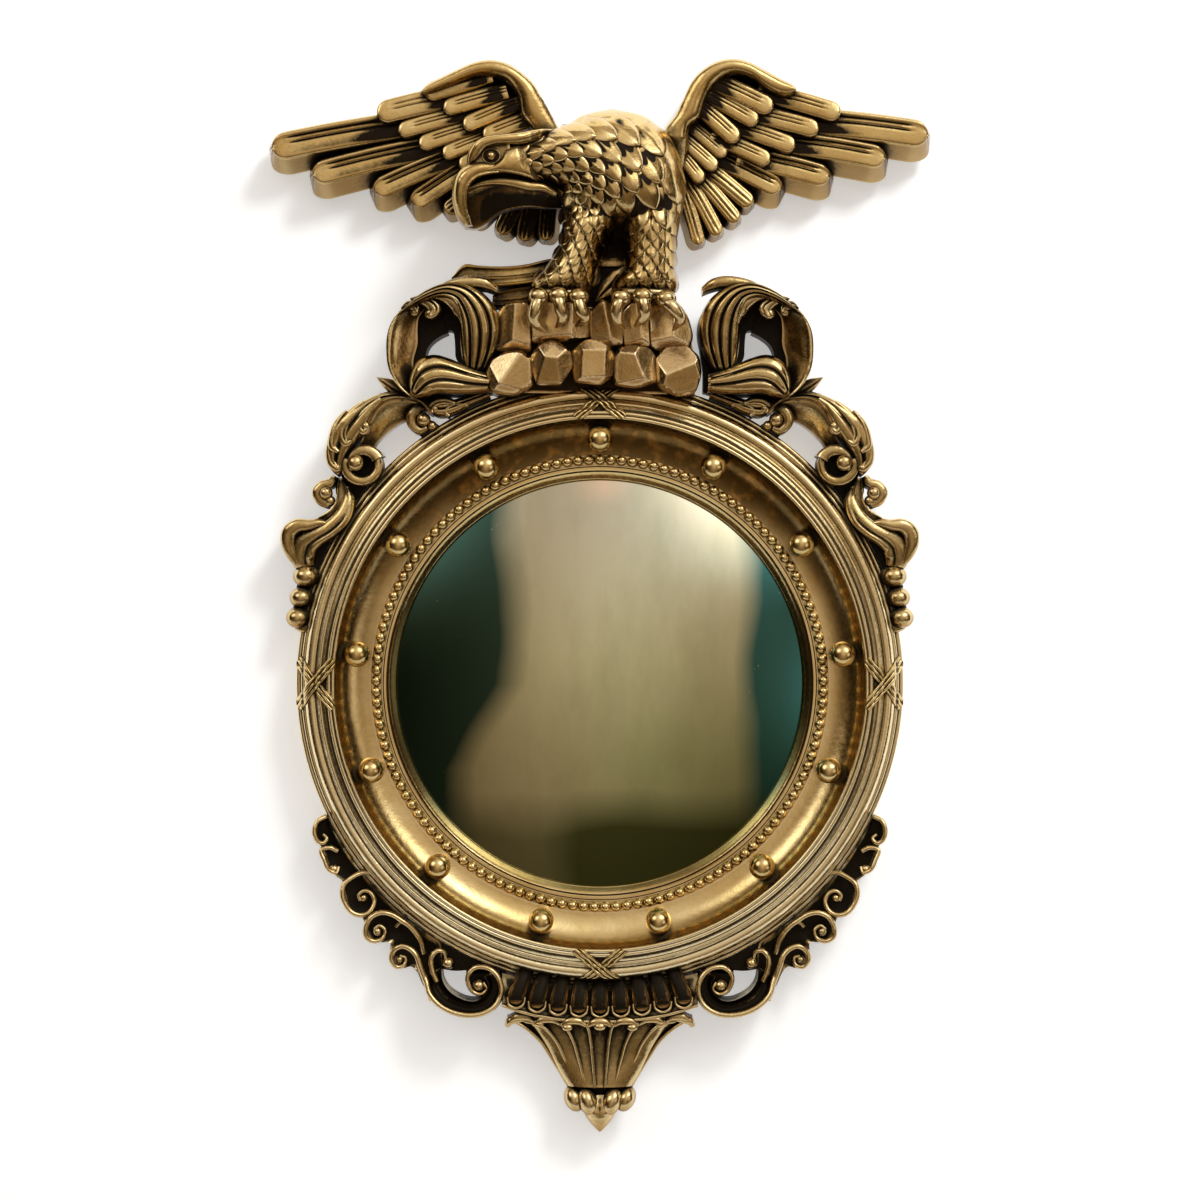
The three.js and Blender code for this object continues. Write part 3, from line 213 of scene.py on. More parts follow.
# ------------------------------------------------------------------ into the scene
def piece(name, skins, material, body="frame", replaces=(), sharp=38, relief_depth=0.9, passes=6):
    """One object from closed skins (points, faces and, where wanted, a tone with painted shade + 1j *
    painted shade as on downward faces, for each point)."""
    start, verts, faces, tones_and_shades = 0, [], [], []
    for v, f, *tone_and_shade in skins:
        verts.append(v)
        faces.append(f + start)
        given = tone_and_shade[0] if tone_and_shade else np.zeros(1)
        tones_and_shades.append(np.concatenate([given, np.zeros(len(v) - len(given))]))
        start += len(v)
    v, f = np.concatenate(verts), np.concatenate(faces)
    co = np.stack([v[:, 0], -v[:, 2], v[:, 1]], 1) / 1000
    mesh = bpy.data.meshes.new(name)
    mesh.vertices.add(len(co))
    mesh.vertices.foreach_set("co", co.astype(np.float32).ravel())
    mesh.loops.add(f.size)
    mesh.loops.foreach_set("vertex_index", f.astype(np.int32).ravel())
    mesh.polygons.add(len(f))
    mesh.polygons.foreach_set("loop_start", np.arange(0, f.size, 4, dtype=np.int32))
    mesh.update(calc_edges=True)
    tones_and_shades = np.concatenate(tones_and_shades)
    for label, part in (("tone_and_shade", tones_and_shades.real), ("underside_shade", tones_and_shades.imag)):
        mesh.attributes.new(label, "FLOAT", "POINT").data.foreach_set("value",
                                                                      np.ascontiguousarray(part,
                                                                                           np.float32))
    clean(mesh)
    mark_carving(mesh, relief_depth, passes)
    mesh.polygons.foreach_set("use_smooth", np.ones(len(mesh.polygons), bool))
    mesh.set_sharp_from_angle(angle=math.radians(sharp))
    mesh.materials.append(material)
    o = bpy.data.objects.new(name, mesh)
    bpy.context.scene.collection.objects.link(o)
    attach(o, body)
    if replaces:
        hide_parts(*replaces)
    return o


def mark_carving(mesh, relief_depth, passes):
    """Stores how far each point lies under (over 0.5) or above (below 0.5) its smoothed surroundings, adds
    each skin's tone and painted shade, and marks steep and downward-facing points for painted shade.
    """
    count = len(mesh.vertices)
    co = np.empty(count * 3, np.float32)
    mesh.vertices.foreach_get("co", co)
    co = co.reshape(-1, 3).astype(float)
    normal = np.empty(count * 3, np.float32)
    mesh.vertex_normals.foreach_get("vector", normal)
    normal = normal.reshape(-1, 3)
    edges = np.empty(len(mesh.edges) * 2, np.int32)
    mesh.edges.foreach_get("vertices", edges)
    a, b = edges.reshape(-1, 2).T
    ends, others = np.concatenate([a, b]), np.concatenate([b, a])
    share = np.maximum(np.bincount(ends, minlength=count), 1)
    soft = co.copy()
    for _ in range(passes):
        near = np.stack([np.bincount(ends, soft[others, k], count) for k in range(3)], 1) / share[:, None]
        soft = 0.4 * soft + 0.6 * near
    under = np.einsum("ij,ij->i", soft - co, normal) * 1000
    layer = mesh.attributes.new("relief_and_shade", "FLOAT", "POINT")
    tone_and_shade, given = np.empty(count, np.float32), np.empty(count, np.float32)
    mesh.attributes["tone_and_shade"].data.foreach_get("value", tone_and_shade)
    mesh.attributes["underside_shade"].data.foreach_get("value", given)
    back = smooth(0.5, 0.9, normal[:, 1])
    relief_and_shade = np.clip(0.5 + relief_depth * under + tone_and_shade, 0, 1) * (1 - back) + BACK_TONE * back
    layer.data.foreach_set("value", relief_and_shade.astype(np.float32))
    mesh.attributes.remove(mesh.attributes["tone_and_shade"])
    # painted shade: steep and downward-facing points, and those a skin marks, get the dark warm shade colour
    steep = smooth(0.22, 0.6, 1 - np.abs(normal[:, 1])) * smooth(-0.75, 0.35, -normal[:, 2])
    below = np.maximum(np.maximum(steep, smooth(0.30, 0.85, -normal[:, 2])), given)
    mesh.attributes["underside_shade"].data.foreach_set("value", below.astype(np.float32))


def clean(mesh):
    """Merges points that coincide, so poles and pinched edges close."""
    bm = bmesh.new()
    bm.from_mesh(mesh)
    bmesh.ops.remove_doubles(bm, verts=bm.verts, dist=WELD)
    bmesh.ops.dissolve_degenerate(bm, edges=bm.edges, dist=1e-7)
    bm.to_mesh(mesh)
    bm.free()


# ------------------------------------------------------------------ materials
class Nodes:
    """Short words for building a node material."""

    def __init__(self, name):
        self.material = bpy.data.materials.new(name)
        self.material.use_nodes = True
        self.tree = self.material.node_tree
        self.tree.nodes.clear()
        self.output = self.tree.nodes.new("ShaderNodeOutputMaterial")
        self.where = self.tree.nodes.new("ShaderNodeTexCoord").outputs["Object"]

    def add(self, kind, **values):
        """A node with its settings and inputs given by name."""
        node = self.tree.nodes.new(kind)
        for key, value in values.items():
            if hasattr(node, key) and key not in node.inputs:
                setattr(node, key, value)
            else:
                self.put(node, key, value)
        return node

    def put(self, node, key, value):
        """Sets or links one input."""
        socket = node.inputs[key]
        if isinstance(value, bpy.types.NodeSocket):
            self.tree.links.new(value, socket)
        else:
            socket.default_value = value

    def noise(self, scale, detail=3.0, rough=0.55, where=None, stretch=None):
        """Cloudy noise on the object coordinates."""
        where = where or self.where
        if stretch:
            mapping = self.add("ShaderNodeMapping", Scale=stretch, Vector=where)
            where = mapping.outputs[0]
        node = self.add("ShaderNodeTexNoise", Scale=scale, Detail=detail, Roughness=rough, Vector=where)
        return node.outputs["Fac"]

    def maths(self, operation, a, b=0.5, clamp=False):
        """One sum of two numbers or sockets."""
        node = self.tree.nodes.new("ShaderNodeMath")
        node.operation = operation
        node.use_clamp = clamp
        for i, value in enumerate((a, b)):
            if isinstance(value, bpy.types.NodeSocket):
                self.tree.links.new(value, node.inputs[i])
            else:
                node.inputs[i].default_value = value
        return node.outputs[0]

    def mix(self, fac, a, b):
        """Colour a turning to b as fac rises."""
        node = self.tree.nodes.new("ShaderNodeMix")
        node.data_type = "RGBA"
        for socket, value in ((node.inputs[0], fac), (node.inputs[6], a), (node.inputs[7], b)):
            if isinstance(value, bpy.types.NodeSocket):
                self.tree.links.new(value, socket)
            elif socket.type == "RGBA":
                socket.default_value = (*value, 1)
            else:
                socket.default_value = value
        return node.outputs[2]

    def span(self, value, low, high, to_low=0.0, to_high=1.0):
        """The value carried from low..high to to_low..to_high, held at the ends."""
        node = self.add("ShaderNodeMapRange")
        for key, number in (("Value", value), ("From Min", low), ("From Max", high), ("To Min", to_low),
                            ("To Max", to_high)):
            self.put(node, key, number)
        return node.outputs[0]

    def occlusion(self, distance):
        """How open the surface is to its surroundings."""
        node = self.tree.nodes.new("ShaderNodeAmbientOcclusion")
        node.samples = 6
        node.inputs["Distance"].default_value = distance
        return node.outputs["AO"]

    def finish(self, shader):
        """Joins the shader to the output."""
        self.tree.links.new(shader.outputs[0], self.output.inputs["Surface"])
        return self.material


def gilding(name, gold, deep, patina_and_shade, wear_and_sheen=0.5, dirt_and_shade=0.5, rough=0.3, grain=1.0, reach=0.012, painted_light=None,
            under_share=0.9, under_tint=(0.42, 0.27, 0.13)):
    """Old gilding: gold paled on its ridges, partly worn and partly a painted highlight; a dark brown in its
    hollows and where parts shut each other off from light, partly glazing and partly painted shade; painted
    shade on steep and downward faces; fine pits and scratches."""
    n = Nodes(name)
    cloud = n.noise(26, 4)
    speck = n.noise(420, 2)
    relief_and_shade = n.add("ShaderNodeAttribute", attribute_name="relief_and_shade").outputs["Fac"]
    groove = n.span(relief_and_shade, 0.53, 0.78)
    ridge = n.span(relief_and_shade, 0.46, 0.20)
    # painted shade: ambient occlusion darkens hollows and the places other parts shut off from light
    hollow = n.span(n.maths("SUBTRACT", 1.0, n.occlusion(reach)), 0.0, 0.85)
    under = n.add("ShaderNodeAttribute", attribute_name="underside_shade").outputs["Fac"]
    depth = n.maths("MAXIMUM", hollow, n.maths("MULTIPLY", groove, 0.9))
    depth = n.maths("SUBTRACT", depth, n.maths("MULTIPLY", ridge, 0.42))
    mottled = n.maths("ADD", depth, n.span(cloud, 0.3, 0.7, -0.10, 0.10))
    mottled = n.maths("ADD", mottled, n.span(speck, 0.35, 0.65, -0.05, 0.05))
    glaze_and_shade = n.span(mottled, 0.34 - 0.30 * dirt_and_shade, 0.80 - 0.42 * dirt_and_shade)
    # ridges paled: partly wear, partly a painted highlight
    worn_and_lit_ridges = n.maths("MULTIPLY", ridge, wear_and_sheen)
    colour = n.mix(n.span(cloud, 0.35, 0.68), gold, deep)
    colour = n.mix(worn_and_lit_ridges, colour, tuple(min(0.95, 0.10 + 0.95 * c) for c in gold))
    if painted_light:
        colour = painted_light(n, colour)
    # painted shade on downward faces: a dark warm tone of the gold, less on ridges
    shadow = n.maths("MULTIPLY", n.maths("SUBTRACT", 1.0, n.maths("MULTIPLY", ridge, 0.35)), under)
    colour = n.mix(n.maths("MULTIPLY", shadow, under_share), colour,
                   tuple(c * k for c, k in zip(deep, under_tint)))
    # the dark brown where glazing and painted shade gather
    colour = n.mix(glaze_and_shade, colour, patina_and_shade)
    roughness = n.maths("ADD", n.span(glaze_and_shade, 0, 1, rough, 0.5), n.span(speck, 0.3, 0.7, -0.05, 0.07))
    pits = n.add("ShaderNodeBump", Strength=0.22 * grain, Distance=0.0004, Height=n.noise(900, 2))
    uneven = n.add("ShaderNodeBump", Strength=0.30 * grain, Distance=0.0016, Height=n.noise(95, 3),
                   Normal=pits.outputs[0])
    shader = n.add("ShaderNodeBsdfPrincipled", Roughness=roughness, Metallic=n.span(glaze_and_shade, 0, 1, 1.0, 0.7),
                   Normal=uneven.outputs[0])
    n.put(shader, "Base Color", colour)
    return n.finish(shader)


def painted_frame_light(n, colour):
    """Paints light and shade on the frame: the moulding from the lip outward paler, more towards the foot;
    the upper part of the hollow shaded dark brown, most at its head and more on the left, mottled with
    orange painted reflections.
    """
    axes = n.add("ShaderNodeSeparateXYZ", Vector=n.where)
    x, z = axes.outputs["X"], axes.outputs["Z"]
    r = n.maths("SQRT", n.maths("ADD", n.maths("MULTIPLY", x, x), n.maths("MULTIPLY", z, z)))
    inside = n.maths("MULTIPLY", n.span(r, 0.1685, 0.1655), n.span(r, 0.140, 0.146))
    head = n.span(n.maths("ADD", z, n.span(n.noise(30, 4), 0.3, 0.7, -0.012, 0.012)), 0.035, 0.120)
    head = n.maths("MAXIMUM", head, n.maths("MULTIPLY", n.span(z, -0.09, 0.03),
                                            n.span(x, -0.02, -0.12, 0.22, 0.42)))
    # painted light: the moulding from the lip outward paler, more towards the foot
    colour = n.mix(n.maths("MULTIPLY", n.span(r, 0.1668, 0.1696), n.span(z, -0.16, 0.12, 0.75, 0.35)),
                   colour, (0.97, 0.84, 0.55))
    # painted shade in the hollow, its orange mottle a painted reflection
    mottle = n.span(n.noise(120, 3), 0.50, 0.72)
    brown = n.mix(mottle, (0.085, 0.042, 0.006), (0.36, 0.17, 0.035))
    return n.mix(n.maths("MULTIPLY", n.maths("MULTIPLY", inside, head), 0.92), colour, brown)


GOLD = gilding("old_gold", (0.82, 0.61, 0.27), (0.68, 0.45, 0.16), (0.014, 0.007, 0.001), dirt_and_shade=0.9,
               wear_and_sheen=0.6, rough=0.17, under_tint=(0.20, 0.14, 0.06))
DARK_GOLD = gilding("gold_glaze_and_shade", (0.82, 0.63, 0.31), (0.60, 0.42, 0.16), (0.010, 0.006, 0.001), dirt_and_shade=0.95,
                    wear_and_sheen=0.6, rough=0.17)
BRIGHT_GOLD = gilding("burnished_gold", (0.85, 0.66, 0.32), (0.74, 0.52, 0.20), (0.030, 0.015, 0.003),
                      dirt_and_shade=0.7, wear_and_sheen=0.15, rough=0.14, grain=0.5, under_share=0.3)
FRAME_GOLD = gilding("frame_gold", (0.88, 0.68, 0.34), (0.76, 0.55, 0.23), (0.060, 0.038, 0.010), dirt_and_shade=0.05,
                     wear_and_sheen=0.9, rough=0.20, grain=0.6, reach=0.0045, painted_light=painted_frame_light, under_share=0.15)
ROCK_GOLD = gilding("rock_gold_worn_and_lit", (0.82, 0.60, 0.29), (0.66, 0.43, 0.17), (0.030, 0.015, 0.003),
                    wear_and_sheen=1.0, dirt_and_shade=0.6, rough=0.20, reach=0.007)


def silvered_glass():
    """Convex silvered glass with a painted reflection in its colour: streaked olive in the middle, dark
    green at the left and foot, teal at the right, a warm painted highlight at the top of the middle, and
    pale specks."""
    n = Nodes("silvering_and_painted_reflection")
    axes = n.add("ShaderNodeSeparateXYZ", Vector=n.where)
    x, z = axes.outputs["X"], axes.outputs["Z"]
    # painted reflection: the zones below stand for what the mirror shows, laid on the glass
    drift = n.span(n.noise(7, 2), 0.3, 0.7, -0.009, 0.009)
    edge = n.maths("ADD", n.maths("ADD", x, drift), n.span(z, -0.055, 0.0, 0.030, 0.0))
    left = n.span(edge, -0.068, -0.046, 1.0, 0.0)
    foot = n.maths("MULTIPLY", n.span(n.maths("ADD", z, drift), -0.095, -0.066, 1.0, 0.0),
                   n.span(n.maths("ADD", x, drift), -0.030, -0.012, 0.72, 1.0))
    right = n.span(n.maths("ADD", x, drift), 0.088, 0.104)
    head = n.span(z, 0.02, 0.11)
    # painted highlight: a warm glow at the top of the middle
    warm = n.maths("MULTIPLY", n.span(n.maths("ABSOLUTE", n.maths("ADD", x, -0.002)), 0.0, 0.022, 1.0, 0.0),
                   n.span(z, 0.112, 0.126))
    green = n.maths("MULTIPLY", n.span(z, 0.03, -0.05), n.span(x, -0.05, 0.03))
    middle = n.mix(head, (0.69, 0.67, 0.43), (0.58, 0.53, 0.39))
    middle = n.mix(n.maths("MULTIPLY", green, 0.75), middle, (0.46, 0.54, 0.27))
    streaks = n.noise(15, 5, 0.65, stretch=(1.5, 1.0, 0.6))
    middle = n.mix(n.span(streaks, 0.44, 0.72, 0.0, 0.38), middle, (0.34, 0.35, 0.17))
    middle = n.mix(warm, middle, (0.80, 0.60, 0.42))
    colour = n.mix(n.maths("MULTIPLY", right, 0.95), middle, (0.02, 0.135, 0.135))
    colour = n.mix(n.maths("MULTIPLY", foot, 0.96), colour, (0.072, 0.092, 0.026))
    colour = n.mix(left, colour, (0.040, 0.082, 0.060))
    specks = n.add("ShaderNodeTexVoronoi", Scale=160.0, Vector=n.where).outputs["Distance"]
    rare = n.maths("MULTIPLY", n.span(specks, 0.05, 0.09, 1.0, 0.0), n.span(n.noise(30, 2), 0.56, 0.66))
    colour = n.mix(rare, colour, (0.55, 0.50, 0.36))
    smear = n.noise(30, 5, 0.7, stretch=(1.0, 1.0, 0.25))
    shader = n.add("ShaderNodeBsdfPrincipled", Metallic=1.0, Roughness=n.span(smear, 0.35, 0.7, 0.05, 0.16))
    n.put(shader, "Base Color", colour)
    return n.finish(shader)


def plain(name, colour, roughness, metallic=0.0, scale=300, bump_by=0.2, spread=0.12):
    """A plain finish with a fine grain in colour, gloss and surface."""
    n = Nodes(name)
    grain = n.noise(scale, 3)
    shade = n.span(grain, 0.3, 0.7, 1 - spread, 1 + spread)
    mult = n.tree.nodes.new("ShaderNodeVectorMath")
    mult.operation = "SCALE"
    mult.inputs[0].default_value = colour
    n.tree.links.new(shade, mult.inputs["Scale"])
    bumped = n.add("ShaderNodeBump", Strength=bump_by, Distance=0.0004, Height=grain)
    shader = n.add("ShaderNodeBsdfPrincipled", Metallic=metallic, Normal=bumped.outputs[0],
                   Roughness=n.span(grain, 0.3, 0.7, roughness - 0.06, roughness + 0.06))
    n.put(shader, "Base Color", mult.outputs[0])
    return n.finish(shader)


GLASS = silvered_glass()
BOARD = plain("brown_board", (0.20, 0.115, 0.055), 0.85, scale=700, bump_by=0.4, spread=0.3)
ZINC = plain("zinc_plate", (0.55, 0.55, 0.53), 0.32, 1.0, scale=150)
BRASS = plain("stamped_brass", (0.60, 0.44, 0.18), 0.3, 1.0, scale=200)
RUBBER = plain("black_rubber", (0.020, 0.020, 0.020), 0.75, scale=900, bump_by=0.3)


# ------------------------------------------------------------------ the round frame
def reed(r, h, radius, a=-30, b=150):
    """The front half of a round reed of the given centre and radius."""
    return arc(r, h, radius, radius, a, b, 9)


def moulded_front():
    """The frame's section from the outer wall to the lip: three reeds, a torus, two fillets and a
    double bead."""
    d = RIM_R - 195
    return [
        [RIM_R - 0.6, 0.6], [RIM_R - 0.1, 1.6], [RIM_R - 0.1, RIM_WALL_H - 1.5],
        *reed(193.3 + d, RIM_WALL_H + 1.0, 1.7, -20, 135),
        *reed(189.9 + d, RIM_WALL_H + 4.2, 1.9, -10, 140),
        *arc(183.9 + d, RIM_WALL_H + 11.2, 4.8, 6.2, -15, 120, 15),
        [180.6 + d, LIP_H - 7.6], [179.4 + d, LIP_H - 6.4],
        *reed(178.2 + d, LIP_H - 5.8, 1.1, 20, 150),
        [176.6 + d, LIP_H - 4.8], [173.4 + d, LIP_H - 3.4],
        *reed(172.2, LIP_H - 1.9, 1.4, 0, 170),
        *reed(169.7, LIP_H - 1.3, 1.3, 40, 190),
    ]


def hollow():
    """The hollow as a quarter ellipse, down to the bead seat."""
    rise = LIP_H - 0.9 - SEAT_H
    return arc(COVE_R, LIP_H - 1.6, COVE_W - 0.4, rise - 0.7, -4, -86, 26)


def frame_ring():
    """The frame's section carried round, with a rabbet behind for slip, glass and board."""
    section = [[RABBET_R, 0], [RIM_R - 1.2, 0], *moulded_front(), *hollow(),
               [COVE_R - 0.2, SEAT_H], [SIGHT_R, SEAT_H], [SIGHT_R, RABBET_H], [RABBET_R, RABBET_H]]
    piece("moulded_frame", [turned(section, 480)], FRAME_GOLD, replaces=["frame_ring"],
          sharp=30, relief_depth=0.5)


def bead_strip():
    """A flat strip with a row of round beads, each a half-buried sphere."""
    middle = (SIGHT_R + COVE_R) / 2
    count = round(TAU * middle / BEAD_PITCH)
    base = SEAT_H + 0.35
    strip = turned([[middle - 3.3, base], [middle + 3.3, base], [middle + 3.3, base + 0.5],
                    [middle + 3.0, base + 0.8], [middle - 3.0, base + 0.8], [middle - 3.3, base + 0.5]],
                   240)
    skins = [strip]
    for k in range(count):
        a = TAU * k / count
        skins.append(ball(middle * math.sin(a), middle * math.cos(a), base + 2.3, 3.46, 10, 16))
    piece("bead_strip", skins, BRIGHT_GOLD, replaces=["bead_ring"])


def balls():
    """Thirteen balls at even angles in the hollow, the first at the top."""
    for k in range(BALLS):
        a = TAU * k / BALLS
        x, z = BALL_CENTRE[0] * math.sin(a), BALL_CENTRE[0] * math.cos(a)
        name = f"ball_{k + 1:02d}"
        piece(f"gilt_{name}", [ball(x, z, BALL_CENTRE[1], BALL_R, 22, 36)], BRIGHT_GOLD,
              replaces=[name])


def glass_front(r):
    """Height of the front of the glass: a sphere that rises GLASS_RISE over its edge."""
    return GLASS_EDGE_H + np.sqrt(GLASS_CURVE_R ** 2 - np.asarray(r, float) ** 2) - (GLASS_CURVE_R
                                                                                     - GLASS_RISE)


def glass_and_slip():
    """The glass, a shell of two spherical faces 3 apart, and the moulded slip over its edge."""
    r = np.linspace(0, GLASS_R, 40)
    front = np.stack([r, glass_front(r)], 1)
    back = np.stack([r[::-1], glass_front(r[::-1]) - 3], 1)
    piece("convex_glass", [turned(np.concatenate([front, back]), 256)], GLASS,
          replaces=["mirror_glass"], sharp=60)
    inner = SIGHT_R - 8.2
    top = SEAT_H + 1.2
    section = [[inner, float(glass_front(inner)) + 0.3], [RABBET_R - 0.7, 9.4],
               [RABBET_R - 0.7, RABBET_H - 0.3], [SIGHT_R - 0.35, RABBET_H - 0.3],
               [SIGHT_R - 0.35, top - 0.5], [SIGHT_R - 0.8, top], [SIGHT_R - 2.2, top],
               [SIGHT_R - 2.8, top - 0.5], [SIGHT_R - 3.0, top - 1.7], [SIGHT_R - 3.6, top - 1.8],
               [SIGHT_R - 3.8, top - 1.1], [SIGHT_R - 5.6, top - 2.3],
               [inner + 0.9, float(glass_front(inner)) + 1.9], [inner, float(glass_front(inner)) + 1.2]]
    piece("gilt_slip", [turned(section, 360)], BRIGHT_GOLD, replaces=["sight_slip"])


def ribbon_ties():
    """Two crossing ribbons of three reeded strands each, laid over the frame's section."""
    front = np.asarray(moulded_front()[3:], float)
    radii = np.linspace(168.4, 194.9, 240)
    order = np.argsort(front[:, 0])
    bed = np.interp(radii, front[order, 0], front[order, 1])
    wide = np.maximum.reduce([np.roll(bed, k) for k in range(-9, 10)])
    wide[:9], wide[-9:] = bed[:9], bed[-9:]
    bed = np.convolve(np.pad(wide, 12, mode="edge"), np.bartlett(27)[1:-1] / np.bartlett(27).sum(), "valid")
    steps, across = 64, 25
    s, u = np.linspace(0, 1, steps)[:, None], np.linspace(-1, 1, across)[None, :]
    strands = 1.1 * np.abs(np.cos(1.5 * math.pi * u)) ** 0.6 - 0.9 * np.abs(u) ** 10
    depth, reach, half = 25.4, 30.0, 3.7
    length = math.hypot(reach, depth)
    for k, name in enumerate(("top", "right", "bottom", "left")):
        skins = []
        for side, base in ((1, 0.5), (-1, 0.9)):
            r = 169.3 + depth * s + u * half * side * reach / length
            along = side * (s - 0.5) * reach - u * half * depth / length
            over = base + (1.3 * bump(s, 0.5, 0.2) if side < 0 else 0)
            bedded = np.interp(r, radii, bed)
            a = along / r + k * TAU / 4
            rows = np.clip(r, 168.6, 195.2)
            place = np.stack([rows * np.sin(a), rows * np.cos(a)], -1)
            skins.append(slab_between(np.dstack([place, bedded + over + strands]),
                                      np.dstack([place, bedded - 3.0])))
        piece(f"crossed_ribbon_{name}", skins, BRIGHT_GOLD,
              replaces=[f"ribbon_tie_{name}"])


frame_ring()
bead_strip()
balls()
glass_and_slip()
ribbon_ties()


# ------------------------------------------------------------------ carving
def flat(s, u):
    """No carving: 0 everywhere. A strip of this shape is a flat bed, painted fully dark as shade in the gaps
    between carvings.
    """
    return 0 * s * u


def rolled(height=3.0):
    """A round roll: height (sqrt(1 - u^2) - 1)."""
    def shape(s, u):
        return height * (round_over(u, 0.97) - 1)
    return shape


def toned(skin, amount):
    """The same skin with one even tone: above 0 darker, below 0 lighter."""
    return skin[0], skin[1], np.full(len(skin[0]), amount)


def track(values, n):
    """A list of values spread evenly along n stations."""
    values = np.atleast_1d(np.asarray(values, float))
    return np.interp(np.linspace(0, 1, n), np.linspace(0, 1, len(values)), values)


def strip(a, b, front, back, shape, n=48, m=17, draft=(0.0, 0.0), lean_it=False):
    """A carved patch between two edge curves a and b; its front is front(s) + shape(s, u), u from -1
    at a to 1 at b."""
    if lean_it:
        a, b = leaning(a), leaning(b)
    pa, pb = spline(a, n), spline(b, n)
    w = np.linspace(0, 1, m)[None, :, None]
    xy = pa[:, None] * (1 - w) + pb[:, None] * w
    s, u = np.linspace(0, 1, n)[:, None], np.linspace(-1, 1, m)[None, :]
    h = track(front, n)[:, None] + shape(s, u)
    top = np.dstack([xy, h])
    bottom = np.dstack([xy, np.broadcast_to(np.asarray(back, float), h.shape)])
    across = pb - pa
    across /= np.maximum(np.linalg.norm(across, axis=1, keepdims=True), 1e-6)
    push = -draft[0] * np.clip(-u, 0, 1) ** 2 + draft[1] * np.clip(u, 0, 1) ** 2
    bottom[..., :2] += across[:, None] * push[..., None]
    skin = slab_between(top, bottom)
    # a flat bed gets the full painted gap shade
    return (*skin, np.full(len(skin[0]), GAP_SHADE)) if shape is flat else skin


def sweep(stations, shape, back, n=60, m=15, lean_it=False, wave=None):
    """A carved ribbon along a path of (x, z, half width, front); u runs from -1 on its right to 1 on
    its left."""
    p = spline(leaning(stations) if lean_it else stations, n)
    _, side = sides(p)
    u, s = np.linspace(-1, 1, m)[None, :], np.linspace(0, 1, n)[:, None]
    half = np.maximum(p[:, 2], 0.02)[:, None] * (1 if wave is None else wave(s, u))
    xy = p[:, None, :2] + side[:, None] * (half * u)[..., None]
    h = p[:, 3][:, None] + shape(s, u)
    top = np.dstack([xy, h])
    bottom = np.dstack([xy, np.full(h.shape, float(back))])
    return slab_between(top, bottom)


def cord(points, radii, around=12, n=28, squash=1.0):
    """A round tube through points (x, z, height) with radii that vary along it."""
    path = np.asarray(points, float)
    p = spline3(path, n)
    r = track(radii, n)
    t = np.gradient(p, axis=0)
    t /= np.maximum(np.linalg.norm(t, axis=1, keepdims=True), 1e-9)
    side = np.cross(t, [0, 0, 1.0])
    weak = np.linalg.norm(side, axis=1) < 1e-3
    side[weak] = [1, 0, 0]
    side /= np.linalg.norm(side, axis=1, keepdims=True)
    up = np.cross(side, t)
    a = np.arange(around) * TAU / around
    rings = (p[:, None] + side[:, None] * (r[:, None] * np.cos(a))[..., None]
             + up[:, None] * (r[:, None] * squash * np.sin(a))[..., None])
    return tube(rings)


def spline3(p, n):
    """Catmull-Rom in space through the points, evenly spaced by length."""
    ends = np.vstack([2 * p[0] - p[1], p, 2 * p[-1] - p[-2]])
    t = np.linspace(0, 1, 16, endpoint=False)[:, None]
    fine = []
    for i in range(1, len(ends) - 2):
        a, b, c, d = ends[i - 1:i + 3]
        fine.append(0.5 * (2 * b + (c - a) * t + (2 * a - 5 * b + 4 * c - d) * t ** 2
                           + (3 * b - a - 3 * c + d) * t ** 3))
    fine = np.vstack(fine + [p[-1:]])
    run = np.concatenate([[0], np.cumsum(np.linalg.norm(np.diff(fine, axis=0), axis=1))])
    at = np.linspace(0, run[-1], n)
    return np.stack([np.interp(at, run, fine[:, k]) for k in range(3)], 1)


def many(tops, bottoms, tone_and_shade):
    """One skin from many grids at once: tops and bottoms are (count, rows, columns, 3), stain fits tops."""
    count, n, m = tops.shape[:3]
    _, f = slab_between(tops[0], bottoms[0], ())
    verts = np.concatenate([tops.reshape(count, -1, 3), bottoms.reshape(count, -1, 3)], 1)
    faces = f[None] + (np.arange(count) * 2 * n * m)[:, None, None]
    marks = np.broadcast_to(tone_and_shade, tops.shape[:3]).reshape(count, -1)
    return *outward(verts.reshape(-1, 3), faces.reshape(-1, 4)), np.concatenate([marks, marks], 1).ravel()


# ------------------------------------------------------------------ wings
def flight_ribs(s, u):
    """A rolled leading edge, then two long grooves that fade before the tip, then a smooth vane."""
    fade = 1 - smooth(0.80, 0.93, s)
    lead = 0.9 * bump(u, 0.80, 0.20)
    grooves = -0.85 * (bump(u, 0.50, 0.08) + bump(u, 0.10, 0.08)) * fade + 0.5 * bump(u, 0.30, 0.13) * fade
    return lead + grooves - 0.5 * u * smooth(0, 1, s) + 0.4 * (1 - u ** 2)


def covert_ribs(s, u):
    """A gently domed feather with a double groove."""
    fade = 1 - smooth(0.72, 0.90, s)
    return 0.9 * (1 - u ** 2) - 0.6 * (bump(u, 0.42, 0.08) + bump(u, 0.02, 0.08)) * fade - 0.5 * u


def striped_ribs(s, u):
    """A long narrow feather with fine barbs either side of its quill."""
    fade = 1 - smooth(0.88, 1.0, s)
    barbs = 0.35 * (bump(u, 0.55, 0.1) + bump(u, -0.5, 0.1)) * fade
    return 1.2 * (1 - u ** 2) - 0.8 * bump(u, 0.05, 0.11) * fade - barbs


